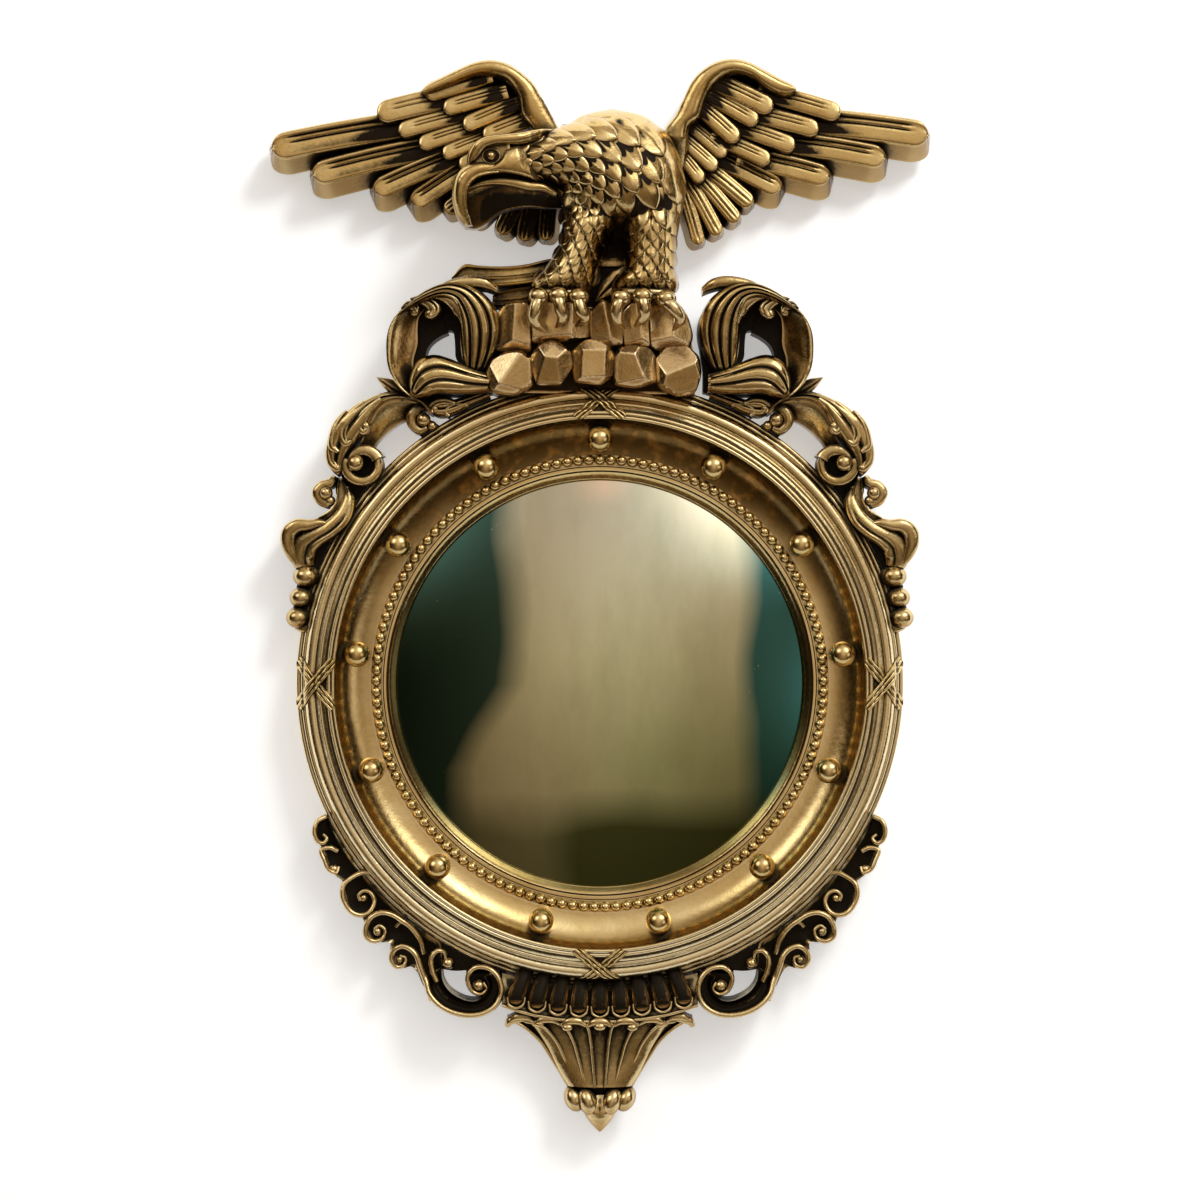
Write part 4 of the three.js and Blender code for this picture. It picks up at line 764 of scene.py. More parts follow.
def feather(root, tip, width, side, front, back, draft, ribs, tuck=14.0, bend=0.0, rise=0.0, shade=0.0):
    """A feather from under its neighbours to a blunt round tip; its thick edge spreads by draft to
    the back."""
    n, m = 34, 21
    s = (1 - (1 - np.linspace(0, 1, n)) ** 1.7)[:, None]
    u = np.linspace(-1, 1, m)[None, :]
    (ax, az), (bx, bz) = leaning([root, tip])
    length = math.hypot(bx - ax, bz - az)
    tx, tz = (bx - ax) / length, (bz - az) / length
    ax, az, length = ax - tx * tuck, az - tz * tuck, length + tuck
    upx, upz = -tz * side, tx * side
    end = min(0.5, 0.62 * width / length)
    q = np.clip((s - (1 - end)) / end, 0, 1)
    half = 0.54 * width * (0.85 + 0.15 * smooth(0, 0.3, s)) * (1 - q ** 2.3) ** (1 / 2.1)
    off = half * u + bend * 4 * s * (1 - s)
    x, z = ax + tx * length * s + upx * off, az + tz * length * s + upz * off
    h = front + rise * s + ribs(s, u) - 1.1 * np.abs(u) ** 14 - 0.9 * q ** 7
    low = draft * (np.clip(-u, 0, 1) ** 1.5 + 0.25 * np.clip(u, 0, 1)) * np.sign(-u)
    reach = 0.5 * draft * q ** 2
    top = np.dstack([x, z, h])
    bottom = np.dstack([x - upx * low + tx * reach, z - upz * low + tz * reach,
                        np.full(h.shape, float(back))])
    # painted shade: darker at the root tucked under its neighbours and along one vane; paler at the tip,
    # partly wear and partly painted light
    dark = (0.30 * (1 - smooth(0.12, 0.55, s)) + 0.10 * smooth(0.2, 0.9, -u) * (1 - q)
            - 0.10 * smooth(0.80, 1.0, s) + shade + 0 * u)
    return *slab_between(top, bottom), np.concatenate([dark.ravel(), 0.22 + 0 * dark.ravel()])


WINGS = {
    "left": {
        "flights": [((-132, 356), (-207, 343.5), 14.5), ((-115, 341), (-181, 326.5), 13),
                    ((-98, 334), (-142, 316), 11.5), ((-90, 326), (-118, 308), 11),
                    ((-75, 318), (-97, 302.5), 10), ((-62, 313), (-79, 296), 10),
                    ((-52, 307), (-62, 288), 11), ((-42, 305), (-47, 283.5), 11),
                    ((-31, 303), (-33, 284), 10.5)],
        "coverts": [((-103, 372.5), (-139.5, 364), 14), ((-92, 362), (-126, 353), 10.5),
                    ((-84, 353.5), (-113, 344.5), 10.5), ((-74, 347.5), (-98, 338), 10),
                    ((-66, 341), (-87.5, 331), 9.5)],
        "scapulars": [((-78, 385), (-108.5, 376), 12), ((-68, 374.5), (-97, 366.5), 11),
                      ((-58, 366.5), (-84.5, 355.5), 10.5), ((-48, 358), (-72, 349), 10.5)],
        "outer": [(-12, 330), (-20, 346), (-25, 355.6), (-34, 372), (-40, 382), (-49, 390), (-57, 394.7),
                  (-66, 396.6), (-76, 395.6), (-91, 389.5), (-108.6, 380.5), (-111, 377.5)],
        "inner": [(-32, 330), (-37, 341), (-39, 350), (-48, 362), (-50.5, 374), (-57, 383), (-65, 385.6),
                  (-74.6, 386), (-84, 383.5), (-91, 380.5), (-108, 374.5), (-110.5, 376)],
    },
    "right": {
        "flights": [((150, 356.5), (212, 349), 14.5), ((135, 342.5), (184.5, 334.5), 12.5),
                    ((112, 331.5), (149, 322.5), 12), ((94, 328), (118, 315.5), 11),
                    ((80, 322), (99.5, 305.5), 10.5), ((72, 317), (90.5, 295), 9.5),
                    ((64, 313), (78.5, 286.5), 9.5), ((58, 308), (66, 280.5), 9)],
        "coverts": [((119, 373), (156, 362), 12), ((108, 361), (142, 352), 11.5),
                    ((98, 352), (127, 341.5), 11), ((88, 343), (111, 332.5), 10.5),
                    ((66, 351), (83, 336.5), 9.5), ((59, 344), (77, 328), 9.5), ((54, 337), (68, 320), 9)],
        "scapulars": [((84, 379), (112.5, 365), 12.5), ((80, 370), (103, 356.5), 11),
                      ((72, 362), (90.5, 345), 11)],
        "outer": [(40, 326), (42, 342), (44.5, 353), (50.5, 361), (55, 370), (61, 382), (68.6, 390),
                  (78, 395), (88, 396.4), (97.5, 394.4), (107, 389.5), (118, 383.5), (125, 380),
                  (127.5, 377.5)],
        "inner": [(58, 326), (58.5, 342), (60, 354), (66, 359), (70, 369), (74.6, 378), (82, 384.5),
                  (90, 386.5), (100, 383.5), (108, 377.5), (117, 373), (124, 373), (127, 375.5)],
    },
}


def arm_roll(s, u):
    """A broad roll, fullest towards its outer edge."""
    return 7.5 * (round_over(0.93 * u + 0.12) - 1) + 0.8 * np.sin(3 * math.pi * s) * np.clip(u, 0, 1)


def wing(side_name):
    """Rows of feathers laid over each other from the flights inward, under a rolled arm."""
    side = -1 if side_name == "left" else 1
    w = WINGS[side_name]
    skins = []
    for i, (root, tip, width) in enumerate(w["flights"]):
        ribs = flight_ribs if i < 4 else striped_ribs
        # painted shade: the left wing's feathers darker, its inner flights most
        skins.append(feather(root, tip, width * (1.12 if i < 4 else 1), side, 22.5 - 0.9 * i, 5,
                             7.5 if i < 4 else 3.0, ribs, 22, bend=1.2 if i < 3 else 0.4, rise=1.5,
                             shade=(0.22 if i > 3 else 0.06) if side < 0 else 0.0))
    for i, (root, tip, width) in enumerate(w["coverts"]):
        skins.append(feather(root, tip, width, side, 27.0 - 0.7 * i, 12, 2.0, covert_ribs, 16, bend=0.6,
                             rise=2.0))
    for i, (root, tip, width) in enumerate(w["scapulars"]):
        skins.append(feather(root, tip, width, side, 30.5 - 0.6 * i, 12, 2.0, covert_ribs, 12, bend=0.5,
                             rise=2.0))
    skins.append(strip(w["outer"], w["inner"], [26, 37, 38.5, 39, 38.5, 37.5, 36.5], 8, arm_roll, 90, 19,
                       (0.8, 0.5), True))
    a = w["flights"]
    # painted shade: a flat bed behind the flights, fully dark, as shade between them
    shade = [(x * 0.96, z + 3) for (x, z), _, _ in a]
    skins.append(strip(shade, w["inner"][2:], 12, 6, flat, 24, 7, lean_it=True))
    piece(f"feathered_wing_{side_name}", skins, GOLD, replaces=[f"wing_{side_name}"], sharp=42,
          relief_depth=0.6)


wing("left")
wing("right")


# ------------------------------------------------------------------ eagle
# Trunk and legs are cut by level sections (z, centre, half width, front),
# the neck by upright ones (x, centre, half width, front).
TRUNK = [(365, 10, 4, 38), (361, 10, 18, 51), (353, 10.5, 30, 60), (336, 11.5, 41, 69), (320, 14, 41.5, 74),
         (304, 16.5, 39.5, 71), (295, 17.5, 36.5, 63), (287, 18, 31, 46), (277, 18, 22, 32),
         (266, 18, 20, 29)]
LEG_LEFT = [(306, -1, 20, 60), (292, -4, 18.5, 66), (277, -9, 14.8, 65), (263, -15.5, 17.5, 64),
            (251, -22.5, 20.5, 62), (247, -23.5, 19, 58)]
LEG_RIGHT = [(306, 34, 21, 60), (292, 34, 19.5, 66), (277, 34, 17, 65), (263, 33.5, 17, 64),
             (251, 30.5, 20.5, 62), (247, 31, 19, 58)]
NECK = [(26, 332, 30, 62), (8, 333, 27.5, 70), (-10, 332.5, 23.5, 73), (-28, 331, 19.5, 73),
        (-45, 329, 16.5, 72), (-60, 327.8, 14.8, 71), (-72, 325.5, 13.2, 70), (-78, 323.5, 10.5, 66),
        (-81, 322, 5, 58)]
BACK_H = 26.0


def sections(table, at):
    """Smoothly interpolated centre, half width and front of a limb at the given stations."""
    t = np.array(table, float)
    t = t[np.argsort(t[:, 0])]
    fine = spline_values(t, np.clip(at, t[0, 0], t[-1, 0]))
    return fine[..., 0], fine[..., 1], fine[..., 2]


def spline_values(t, at):
    """Cubic Hermite values of a table (station, a, b, c) at the given stations."""
    k = np.clip(np.searchsorted(t[:, 0], at, "right") - 1, 0, len(t) - 2)
    slopes = np.gradient(t[:, 1:], t[:, 0], axis=0)
    a, b = t[k], t[k + 1]
    d = (b[..., 0] - a[..., 0])[..., None]
    x = ((at - a[..., 0]) / (b[..., 0] - a[..., 0]))[..., None]
    return ((2 * x ** 3 - 3 * x ** 2 + 1) * a[..., 1:] + (x ** 3 - 2 * x ** 2 + x) * d * slopes[k]
            + (-2 * x ** 3 + 3 * x ** 2) * b[..., 1:] + (x ** 3 - x ** 2) * d * slopes[k + 1])


def limb_height(table, along, across):
    """Front height of a limb of half-elliptic section: middle + rise * sqrt(1 - t^2), falling away
    beyond its edge."""
    lo, hi = min(r[0] for r in table), max(r[0] for r in table)
    centre, half, front = sections(table, along)
    t = (across - centre) / np.maximum(half, 0.5)
    middle = BACK_H + 0.42 * (front - BACK_H)
    h = middle + (front - middle) * round_over(t) - 26 * np.clip(np.abs(t) - 1, 0, None)
    return h - 4 * np.clip(lo - along, 0, None) - 4 * np.clip(along - hi, 0, None)


def body_height(x, z):
    """The eagle's front: the smooth maximum of trunk, neck and legs, k log sum exp(h / k)."""
    x, z = np.asarray(x, float), np.asarray(z, float)
    heights = [limb_height(TRUNK, z, x), limb_height(NECK, x, z), limb_height(LEG_LEFT, z, x),
               limb_height(LEG_RIGHT, z, x)]
    k = 1.6
    top = np.maximum.reduce(heights)
    return top + k * np.log(sum(np.exp((h - top) / k) for h in heights))


def limb_skin(table, upright, n=44, m=40, shrink=0.8):
    """A closed loft through the same sections, a little inside the scales."""
    t = np.array(table, float)
    at = np.linspace(t[0, 0], t[-1, 0], n)
    centre, half, front = sections(table, at)
    half, front = half - shrink, front - shrink
    a = np.arange(m) * TAU / m
    middle = BACK_H + 0.42 * (front - BACK_H)
    across = centre[:, None] + half[:, None] * np.cos(a)
    lift = np.sin(a)[None, :]
    h = middle[:, None] + np.where(lift > 0, (front - middle)[:, None], (middle - BACK_H)[:, None]) * lift
    along = np.broadcast_to(at[:, None], across.shape)
    x, z = (along, across) if upright else (across, along)
    return tube(leaning(np.dstack([x, z, h])))


def scales(x, z, width, length, heading, n=16, m=13, lift=2.1, depth=0.44):
    """Overlapping scales draped on the body: domed across, creased along the middle, lifted towards a
    blunt point."""
    a = np.linspace(0, 1, n)[None, :, None]
    v = np.linspace(-1, 1, m)[None, None, :]
    taper = (1 - np.clip((a - 0.30) / 0.70, 0, 1) ** 2.4) ** 0.66 * (0.78 + 0.22 * smooth(0, 0.4, a))
    w, l, th = width[:, None, None], length[:, None, None], heading[:, None, None]
    along, across = (a - 0.5) * l, 0.5 * w * taper * v
    px = x[:, None, None] + np.cos(th) * along - np.sin(th) * across
    pz = z[:, None, None] + np.sin(th) * along + np.cos(th) * across
    size = (w / 10.0) ** 0.6
    raised = (0.2 + lift * a ** 1.1 + 0.9 * (1 - v ** 2)
              + 0.28 * np.exp(-(v / 0.15) ** 2) * (1 - a ** 4) * smooth(0.0, 0.3, a) - 0.9 * np.abs(v) ** 12
              - 0.9 * a ** 12) * size
    base = body_height(px, pz)
    top = np.stack([px, pz, base + raised], -1)
    bottom = np.stack([px, pz, base - 2.2], -1)
    covered = np.clip((353 - z) / 22, 0.6, 1)[:, None, None] * np.clip((60 - x) / 22, 0.4, 1)[:, None, None]
    # painted shade: each scale darker at its root under the row above (less where roots lie open, at the top
    # and right), along its edges and at its tip edge; a painted highlight just behind the tip
    tone_and_shade = (depth * covered * (1 - smooth(0.25, 0.70, a)) + 0.32 * smooth(0.84, 1.0, np.abs(v))
             + 0.32 * smooth(0.92, 1.0, a) - 0.10 * bump(a, 0.78, 0.12) * (1 - v ** 2))
    return many(leaning(top), leaning(bottom), tone_and_shade)


def scale_rows():
    """Breast, neck and back scales on rings about the throat: size follows the distance, tips turn
    clockwise."""
    cx, cz = -34.0, 289.0
    places = []
    for j in range(21):
        angle = math.radians(130) - j * 0.180
        for i in range(9):
            r = 24.0 * math.exp(0.232 * (i + 0.5 * (j % 2)))
            places.append((cx + r * math.cos(angle), cz + r * math.sin(angle), 0.252 * r, 0.40 * r,
                           angle - math.pi / 2))
    x, z, w, l, th = np.array(places).T
    centre, half, _ = sections(TRUNK, z)
    in_trunk = (np.abs(x - centre) < half - 4.5) & (z > 290) & (z < 355)
    c2, h2, _ = sections(NECK, x)
    in_neck = (np.abs(z - c2) < h2 - 3.0) & (x > -50) & (x < 20)
    face = (x < -51) & (z < 341)
    gap = (np.abs(x - 14.5) < (298 - z) * 0.5) & (z < 298)
    keep = (in_trunk | in_neck) & ~face & ~gap & ~((z < 304) & (x < -14)) & ~((z < 315) & (x < -27))
    th = th + rng.normal(0, 0.07, len(th))
    w = np.clip(w * rng.uniform(0.95, 1.10, len(w)), 8.0, 18)
    l = np.clip(l * np.where(x > 38, 1.05, 1.0), 11.5, 26)
    return [scales(x[keep], z[keep], w[keep], l[keep], th[keep])]


def leg_scales():
    """Smaller scales in level rows down each leg, tips down."""
    out = []
    for table, lean_by, top, limit in ((LEG_LEFT, -0.30, 306, -8), (LEG_RIGHT, 0.02, 292, -99)):
        rows = []
        for j, z in enumerate(np.arange(top, 248, -4.9)):
            centre, half, _ = sections(table, np.array([z]))
            for k in np.arange(-4, 5):
                x = centre[0] + (k + 0.5 * (j % 2)) * 8.4
                if abs(x - centre[0]) < half[0] - 1.5 and (z < 292 or x < limit):
                    rows.append((x, z))
        p = np.array(rows)
        heading = -math.pi / 2 + lean_by + 0.014 * (p[:, 0] - p[:, 0].mean()) + rng.normal(0, 0.07, len(p))
        out.append(scales(p[:, 0], p[:, 1], np.full(len(p), 9.6), np.full(len(p), 12.5), heading, lift=2.5,
                          depth=0.24))
    return out


def face():
    """Brow cap over the eye, smooth cheek, hooked beak, the hollow of the open mouth and the lower jaw."""
    eye_x, eye_z = -65.2, 329.6
    brow_a = [(-27, 349.5), (-40, 346.8), (-48, 345.2), (-56, 344.2), (-63, 343.4), (-69.4, 342.2),
              (-75, 339.4), (-79, 334.6), (-80.8, 329), (-80.8, 324)]
    brow_b = [(-29, 343.5), (-42, 338.2), (-48, 336.8), (-53, 336.6), (-58, 336.4), (-63, 335.8),
              (-68.6, 333.8), (-71.6, 330), (-74.2, 326.4), (-78.8, 322.6)]
    skins = [strip(brow_a, brow_b, [60, 71, 75, 77, 78, 78.5, 78.5, 78, 76, 73], 40,
                   lambda s, u: 2.4 * (1 - u ** 2) - 9 * np.clip(-u, 0, 1) ** 5
                   - 1.6 * np.clip(u, 0, 1) ** 8, 70, 25, lean_it=True)]
    cheek_a = [(-38, 338), (-44, 337.4), (-50, 336.8), (-56, 334), (-58.6, 328.6), (-62.6, 325),
               (-68.6, 324.4), (-73, 325.4), (-79.5, 323.4)]
    cheek_b = [(-34, 313.6), (-38.5, 315), (-42, 316.6), (-50, 318.4), (-57, 319.2), (-63, 319),
               (-69, 317.8), (-75, 315.8), (-81.5, 312.4)]
    skins.append(strip(cheek_a, cheek_b, [64, 71, 74.4, 75.3, 75.5, 75.5, 75.5, 75.5, 74], 40,
                       lambda s, u: 2.6 * (1 - u ** 2) - 1.6 * np.abs(u) ** 12, 80, 27, lean_it=True))
    ex, ez = leaning([(eye_x, eye_z)])[0]
    v, f, _ = strip([(-54, 338.5), (-66, 337.5), (-74, 334), (-79, 327)],
                    [(-52, 324), (-63, 322), (-71, 322), (-79, 321)], 75.4, 40, flat, 50, 29, lean_it=True)
    # painted shade: a dark ring round the eye, in its socket
    skins.append((v, f, 0.30 * bump(np.hypot(v[:, 0] - ex, v[:, 1] - ez), 4.2, 1.3)))
    turn = np.linspace(0, TAU, 40, endpoint=False)[:, None]
    around = np.linspace(0, TAU, 12, endpoint=False)[None, :]
    rad = 4.9 + 0.5 * np.cos(around)
    skins += [
        ring_body(np.dstack([ex + 1.12 * rad * np.cos(turn), ez + 0.92 * rad * np.sin(turn),
                             75.3 + 0.6 * np.sin(around) + 0 * turn])),
        ball(ex, ez, 75.6, 3.1, 16, 24),
    ]
    hood_a = [(-64, 326), (-72, 326.6), (-79, 325), (-84.6, 321), (-88.2, 315.6), (-89.8, 308),
              (-89.4, 300), (-87, 292.6), (-82.6, 287.4)]
    hood_b = [(-60, 319), (-67.4, 318), (-73.6, 316), (-77.6, 312.6), (-79.6, 308), (-80.2, 302.4),
              (-79.8, 297), (-78.4, 292), (-77.6, 288)]
    skins.append(strip(hood_a, hood_b, [75, 76, 77, 77.5, 77, 75.5, 73, 70, 66], 46,
                       lambda s, u: 2.4 * (1 - u ** 2) - 2.4 * np.clip(-u, 0, 1) ** 3
                       + 0.9 * bump(u, 0.85, 0.12), 80, 25, lean_it=True))
    palate_a = [(-83, 312), (-76, 316), (-68, 318.6), (-60, 319.6), (-50, 318.8), (-40, 316.8),
                (-30, 314.2), (-21, 309)]
    palate_b = [(-82, 287.6), (-76, 287.4), (-70, 290), (-62, 296.6), (-52, 300), (-42, 301), (-32, 300.4),
                (-22, 301)]
    v, f = strip(palate_a, palate_b, [68, 70, 71, 71, 70.5, 70, 68, 62], 44,
                 lambda s, u: -2.0 - 8.5 * (u + 1) ** 0.8 + 1.4 * bump(u, -0.62, 0.16)
                 + 1.8 * bump(s, 0.0, 0.08) * (u + 1), 70, 25, lean_it=True)
    # painted shade in the open mouth: the palate darker low down and towards the throat, with the shade of
    # downward faces over all of it
    skins.append((v, f, 0.46 * smooth(313, 298, v[:, 1]) * smooth(-82, -62, v[:, 0]) + 1j))
    lips = [(-80.4, 310.6, 1.1, 70.5), (-74, 313.0, 1.7, 72), (-64, 314.6, 2.1, 72.5),
            (-52, 313.8, 2.4, 72), (-42, 311.6, 2.5, 71.5), (-33, 310.8, 2.2, 70), (-25, 307, 1.4, 66)]
    skins.append(sweep(lips, rolled(2.2), 50, 60, 13, True))
    return skins


def eagle():
    """Trunk, neck and legs as lofts, scales draped over them, and the face."""
    skins = [limb_skin(TRUNK, False), limb_skin(NECK, True), limb_skin(LEG_LEFT, False, 30, 28),
             limb_skin(LEG_RIGHT, False, 30, 28)]
    skins += [
        # painted shade: a flat bed between the legs, fully dark
        strip([(-10, 300), (14, 302), (38, 300)], [(-14, 240), (12, 240), (38, 240)], 21, 6, flat, 20, 20,
              lean_it=True),
        strip([(-26, 346), (0, 353), (28, 350), (50, 341)], [(-18, 306), (8, 298), (34, 296), (52, 302)],
              [30, 34, 36, 34], 8, lambda s, u: -2.0 * u ** 2, 30, 15, (0.5, 0.5), True),
    ]
    piece("scaled_eagle", skins + scale_rows() + leg_scales() + face(), GOLD,
          replaces=["eagle_body"], sharp=40)


TOES = {"left": [((-36.5, 243.5), (-38.5, 235.5), (-39.5, 228.5), (-32.5, 220.8)),
                 ((-24, 244), (-23, 236.8), (-21.5, 230), (-25.8, 223.6)),
                 ((-11.5, 243), (-10, 234.5), (-7.6, 229.5), (-13.4, 224.5))],
        "right": [((15, 242.3), (12.4, 236.4), (12.4, 229), (17.2, 222.6)),
                  ((28.5, 243), (29.4, 236.6), (29.6, 230.6), (23.4, 223.6)),
                  ((43, 241.3), (48, 235), (52, 228.8), (47.6, 221.4))],}


def foot(side):
    """Three toes: a round knuckle and a claw that curls down and in over the rock."""
    skins = []
    for knuckle, a, b, c in TOES[side]:
        k, a, b, c = leaning([knuckle, a, b, c])
        skins += [
            ball(k[0], k[1], 64, 5.9, 18, 26, (1.12, 0.92, 0.95)),
            cord([(k[0], k[1] + 3, 58), (k[0], k[1] - 1.5, 64), (a[0], a[1], 66), (b[0], b[1], 63),
                  (c[0], c[1] + 1, 56)], [3.2, 4.2, 4.2, 3.3, 0.9], 16, 34),
        ]
    x0, x1 = TOES[side][0][0][0], TOES[side][-1][0][0]
    skins.append(cord(leaning([(x0 - 2, 245.5, 56), ((x0 + x1) / 2, 246, 58), (x1 + 2, 245, 56)]),
                      [3.2, 4.2, 3.2], 14, 20))
    piece(f"claws_{side}", skins, DARK_GOLD, replaces=[f"talon_{side}"], sharp=50)


def tail_feather_ribs(s, u):
    """A broad hollow flute between rolled rims, parted by one low ridge."""
    rims = 1.5 * (bump(u, -0.86, 0.16) + bump(u, 0.9, 0.14))
    return rims + 0.9 * bump(u, 0.12, 0.16) - 0.8 * (1 - u ** 2) - 0.6 * np.abs(u) ** 14


def tail():
    """Two fluted feathers to the left and a leaf-shaped one between the legs."""
    upper = strip([(-16, 271), (-30, 270.6), (-44, 267.4), (-59, 266), (-75, 266.6), (-84.5, 267.3),
                   (-92.6, 259)], [(-16, 259), (-30, 257.5), (-44, 255), (-58, 253.6), (-72, 252.8),
                                   (-84, 253.2), (-91.5, 254.8)], [30, 31, 31.5, 32, 31.5], 8,
                  tail_feather_ribs, 60, 21, (0.5, 1.0), True)
    lower = strip([(-14, 258), (-30, 255.5), (-44, 253.6), (-62, 250.4), (-66.5, 247.8)],
                  [(-14, 246), (-30, 245.5), (-44, 242.5), (-60, 241), (-67, 242)], [27, 28, 28.5, 28], 8,
                  tail_feather_ribs, 50, 17, (0.4, 1.0), True)
    inner = strip([(20, 268), (10, 262.5), (2, 253), (-1.5, 243)],
                  [(24, 262), (19, 253), (11, 247.5), (-0.5, 242.6)], [34, 36, 36, 34], 8,
                  lambda s, u: 1.5 * (1 - u ** 4) - 1.6 * bump(u, 0.0, 0.12), 36, 17, (0.4, 0.6), True)
    # painted shade: a flat bed at the tail's root, fully dark
    root = strip([(-40, 262), (18, 266)], [(-40, 247), (18, 247)], [24, 25], 8, flat, 12, 7, (0, 0), True)
    # toned lighter, a painted light that lessens the glazing and painted shade in the flutes
    upper, lower, inner = (toned(skin, -0.14) for skin in (upper, lower, inner))
    piece("fluted_tail", [upper, lower, inner, root], GOLD, replaces=["tail"], sharp=40)


eagle()
foot("left")
foot("right")
tail()


# ------------------------------------------------------------------ rocks
# Each rock: outline (x, z), front height, then its flat faces as
# (slope along x, slope along z, extra height at the middle).
ROCKS = [
    ([(-70, 198), (-66.5, 205.5), (-58, 210), (-49, 211), (-42.2, 206), (-41.8, 190), (-52, 184),
      (-67, 186)], 48, [(0.22, -0.24, 0.0), (-0.22, 0.06, 0.0), (0.0, 0.9, 8.5), (0.9, 0.1, 7.5)]),
    ([(-42.4, 205), (-37, 214), (-28.5, 217.4), (-18.6, 212), (-16.4, 202), (-23.5, 190.5), (-38, 190.5)],
     50, [(0.03, -0.42, 0.9), (0.10, 0.34, -0.6), (0.85, 0.1, 3.0), (-0.60, 0.25, 2.2)]),
    ([(-16.5, 209), (-11, 215.8), (-2, 218), (6.5, 215.2), (10.4, 208), (10, 197), (2, 190), (-14, 192)],
     49, [(0.04, 0.06, 0.0), (0.03, -0.6, 3.6), (1.0, 0.0, 7.5), (-1.0, 0.1, 7.0), (0.0, 1.0, 10.5)]),
    ([(10.6, 206), (14.5, 213), (24, 214.4), (32, 212), (37.6, 204), (37.5, 192), (24, 188), (11, 190)],
     48.5, [(0.16, 0.10, 0.0), (-0.62, -0.22, 1.4), (0.05, -0.6, 3.9), (0.0, 0.9, 8.0)]),
    ([(38, 206), (44, 212), (56, 213), (63.5, 206.5), (65, 196), (61.5, 185), (50, 182.4), (38.4, 189)], 50,
     [(0.12, -0.44, -0.3), (-0.16, 0.26, 0.0), (0.8, 0.0, 7.5), (-0.9, 0.0, 8.0)]),
    ([(-64.5, 213), (-63.5, 232), (-59.5, 240), (-52, 243), (-42.4, 242), (-41.8, 230), (-42, 211.6),
      (-52, 210.4)], 46, [(0.62, 0.0, 0.6), (-0.20, 0.06, 0.0), (0.05, 0.95, 9.0)]),
    ([(-41.5, 213.5), (-42, 238), (-36, 243), (-12, 243), (-4.4, 236), (-4.4, 219.6), (-16, 214),
      (-30, 215.6)], 46, [(0.12, 0.08, 0.0), (0.05, 0.95, 6.0), (-0.62, 0.1, 5.0)]),
    ([(-3.6, 217), (-3.8, 236), (2, 243), (9, 241), (16, 230), (16.4, 214.6), (8, 213.4)], 46,
     [(0.35, 0.0, 0.0), (-0.50, -0.16, 0.4), (0.0, 0.9, 9.0)]),
    ([(16.6, 214.5), (15.4, 236), (22, 243), (32.6, 242), (33.6, 214), (24, 212)], 46,
     [(0.20, 0.10, 0.0), (-0.45, 0.0, 2.0), (0.0, 0.85, 7.5)]),
    ([(33.4, 213.6), (32.8, 232), (36, 243), (48, 243), (56, 234), (60, 220), (57, 211), (44, 209.6)], 47,
     [(0.22, -0.16, 0.0), (-0.50, -0.10, 1.6), (0.0, 0.9, 7.5)]),
]


def rock(outline, front, faces, rows=30, around=132):
    """A cut stone: its height is the soft least of its flat faces and of a steep chamfer that rises
    from the outline."""
    p = leaning(outline)
    middle = p.mean(0)
    q = p - middle
    edge = np.roll(q, -1, axis=0) - q
    normal = np.stack([edge[:, 1], -edge[:, 0]], 1)
    normal /= np.linalg.norm(normal, axis=1, keepdims=True)
    gap = np.einsum("ij,ij->i", normal, q)
    normal, gap = normal * np.sign(gap)[:, None], np.abs(gap)
    a = np.arange(around) * TAU / around
    d = np.stack([np.cos(a), np.sin(a)], 1)
    reach = 1 / ((np.clip(d @ normal.T, 1e-4, None) / gap) ** 18).sum(1) ** (1 / 18) + 1.1
    r = np.linspace(0, 1, rows)[:, None] * reach[None, :]
    dx, dz = r * d[:, 0], r * d[:, 1]
    inside = (reach[None, :] - r)
    heights = [front + c + sx * dx + sz * dz for sx, sz, c in faces] + [front - 6.5 + 2.6 * inside]
    k = 0.22
    least = np.minimum.reduce(heights)
    h = least - k * np.log(sum(np.exp(-(t - least) / k) for t in heights))
    top = np.dstack([middle[0] + dx, middle[1] + dz, h])
    foot = top[-1:].copy()
    foot[..., 2] = 4
    # painted light and shade by facet direction: facets facing down get the shade of downward faces, facets
    # facing up are lighter, facets facing left darker, facing right a little darker, the steep chamfer
    # darker
    tones = np.array([0.85j if sz > 0.5 else -0.2 if sz < -0.2 else 0.13 * (sx > 0.5) + 0.05 * (sx < -0.4)
                      for sx, sz, _ in faces] + [0.30])
    # painted light: the upper row of stones, in the eagle's shadow, toned lighter
    tone_and_shade = tones[np.argmin(np.stack(heights), 0)] - (0.14 if front < 47.5 else 0)
    tone_and_shade = np.concatenate([tone_and_shade[:1], tone_and_shade, tone_and_shade[-1:], tone_and_shade[-1:]]).ravel()
    return *tube(np.concatenate([top, foot])), tone_and_shade


def rocks():
    """The stones on a flat bed, painted dark as shade in the gaps between them."""
    bed = strip([(-66, 186), (-67, 206), (-62, 240)], [(62, 184), (62, 206), (54, 240)], 27, 4, flat, 24,
                41, lean_it=True)
    piece("cut_rocks", [rock(*r) for r in ROCKS] + [bed], ROCK_GOLD,
          replaces=["rock_base"], sharp=16, relief_depth=2.6, passes=10)


rocks()


# ------------------------------------------------------------------ leaf scrolls round the rim
def both_sides(name, node, skins):
    """The left piece as drawn and the right one as its mirror image."""
    turned_over = [(*outward(v * [-1, 1, 1], f), *tone_and_shade) for v, f, *tone_and_shade in skins]
    for side, carving in (("left", skins), ("right", turned_over)):
        piece(f"{name}_{side}", carving, DARK_GOLD, replaces=[f"{node}_{side}"],
              sharp=42, relief_depth=0.7)


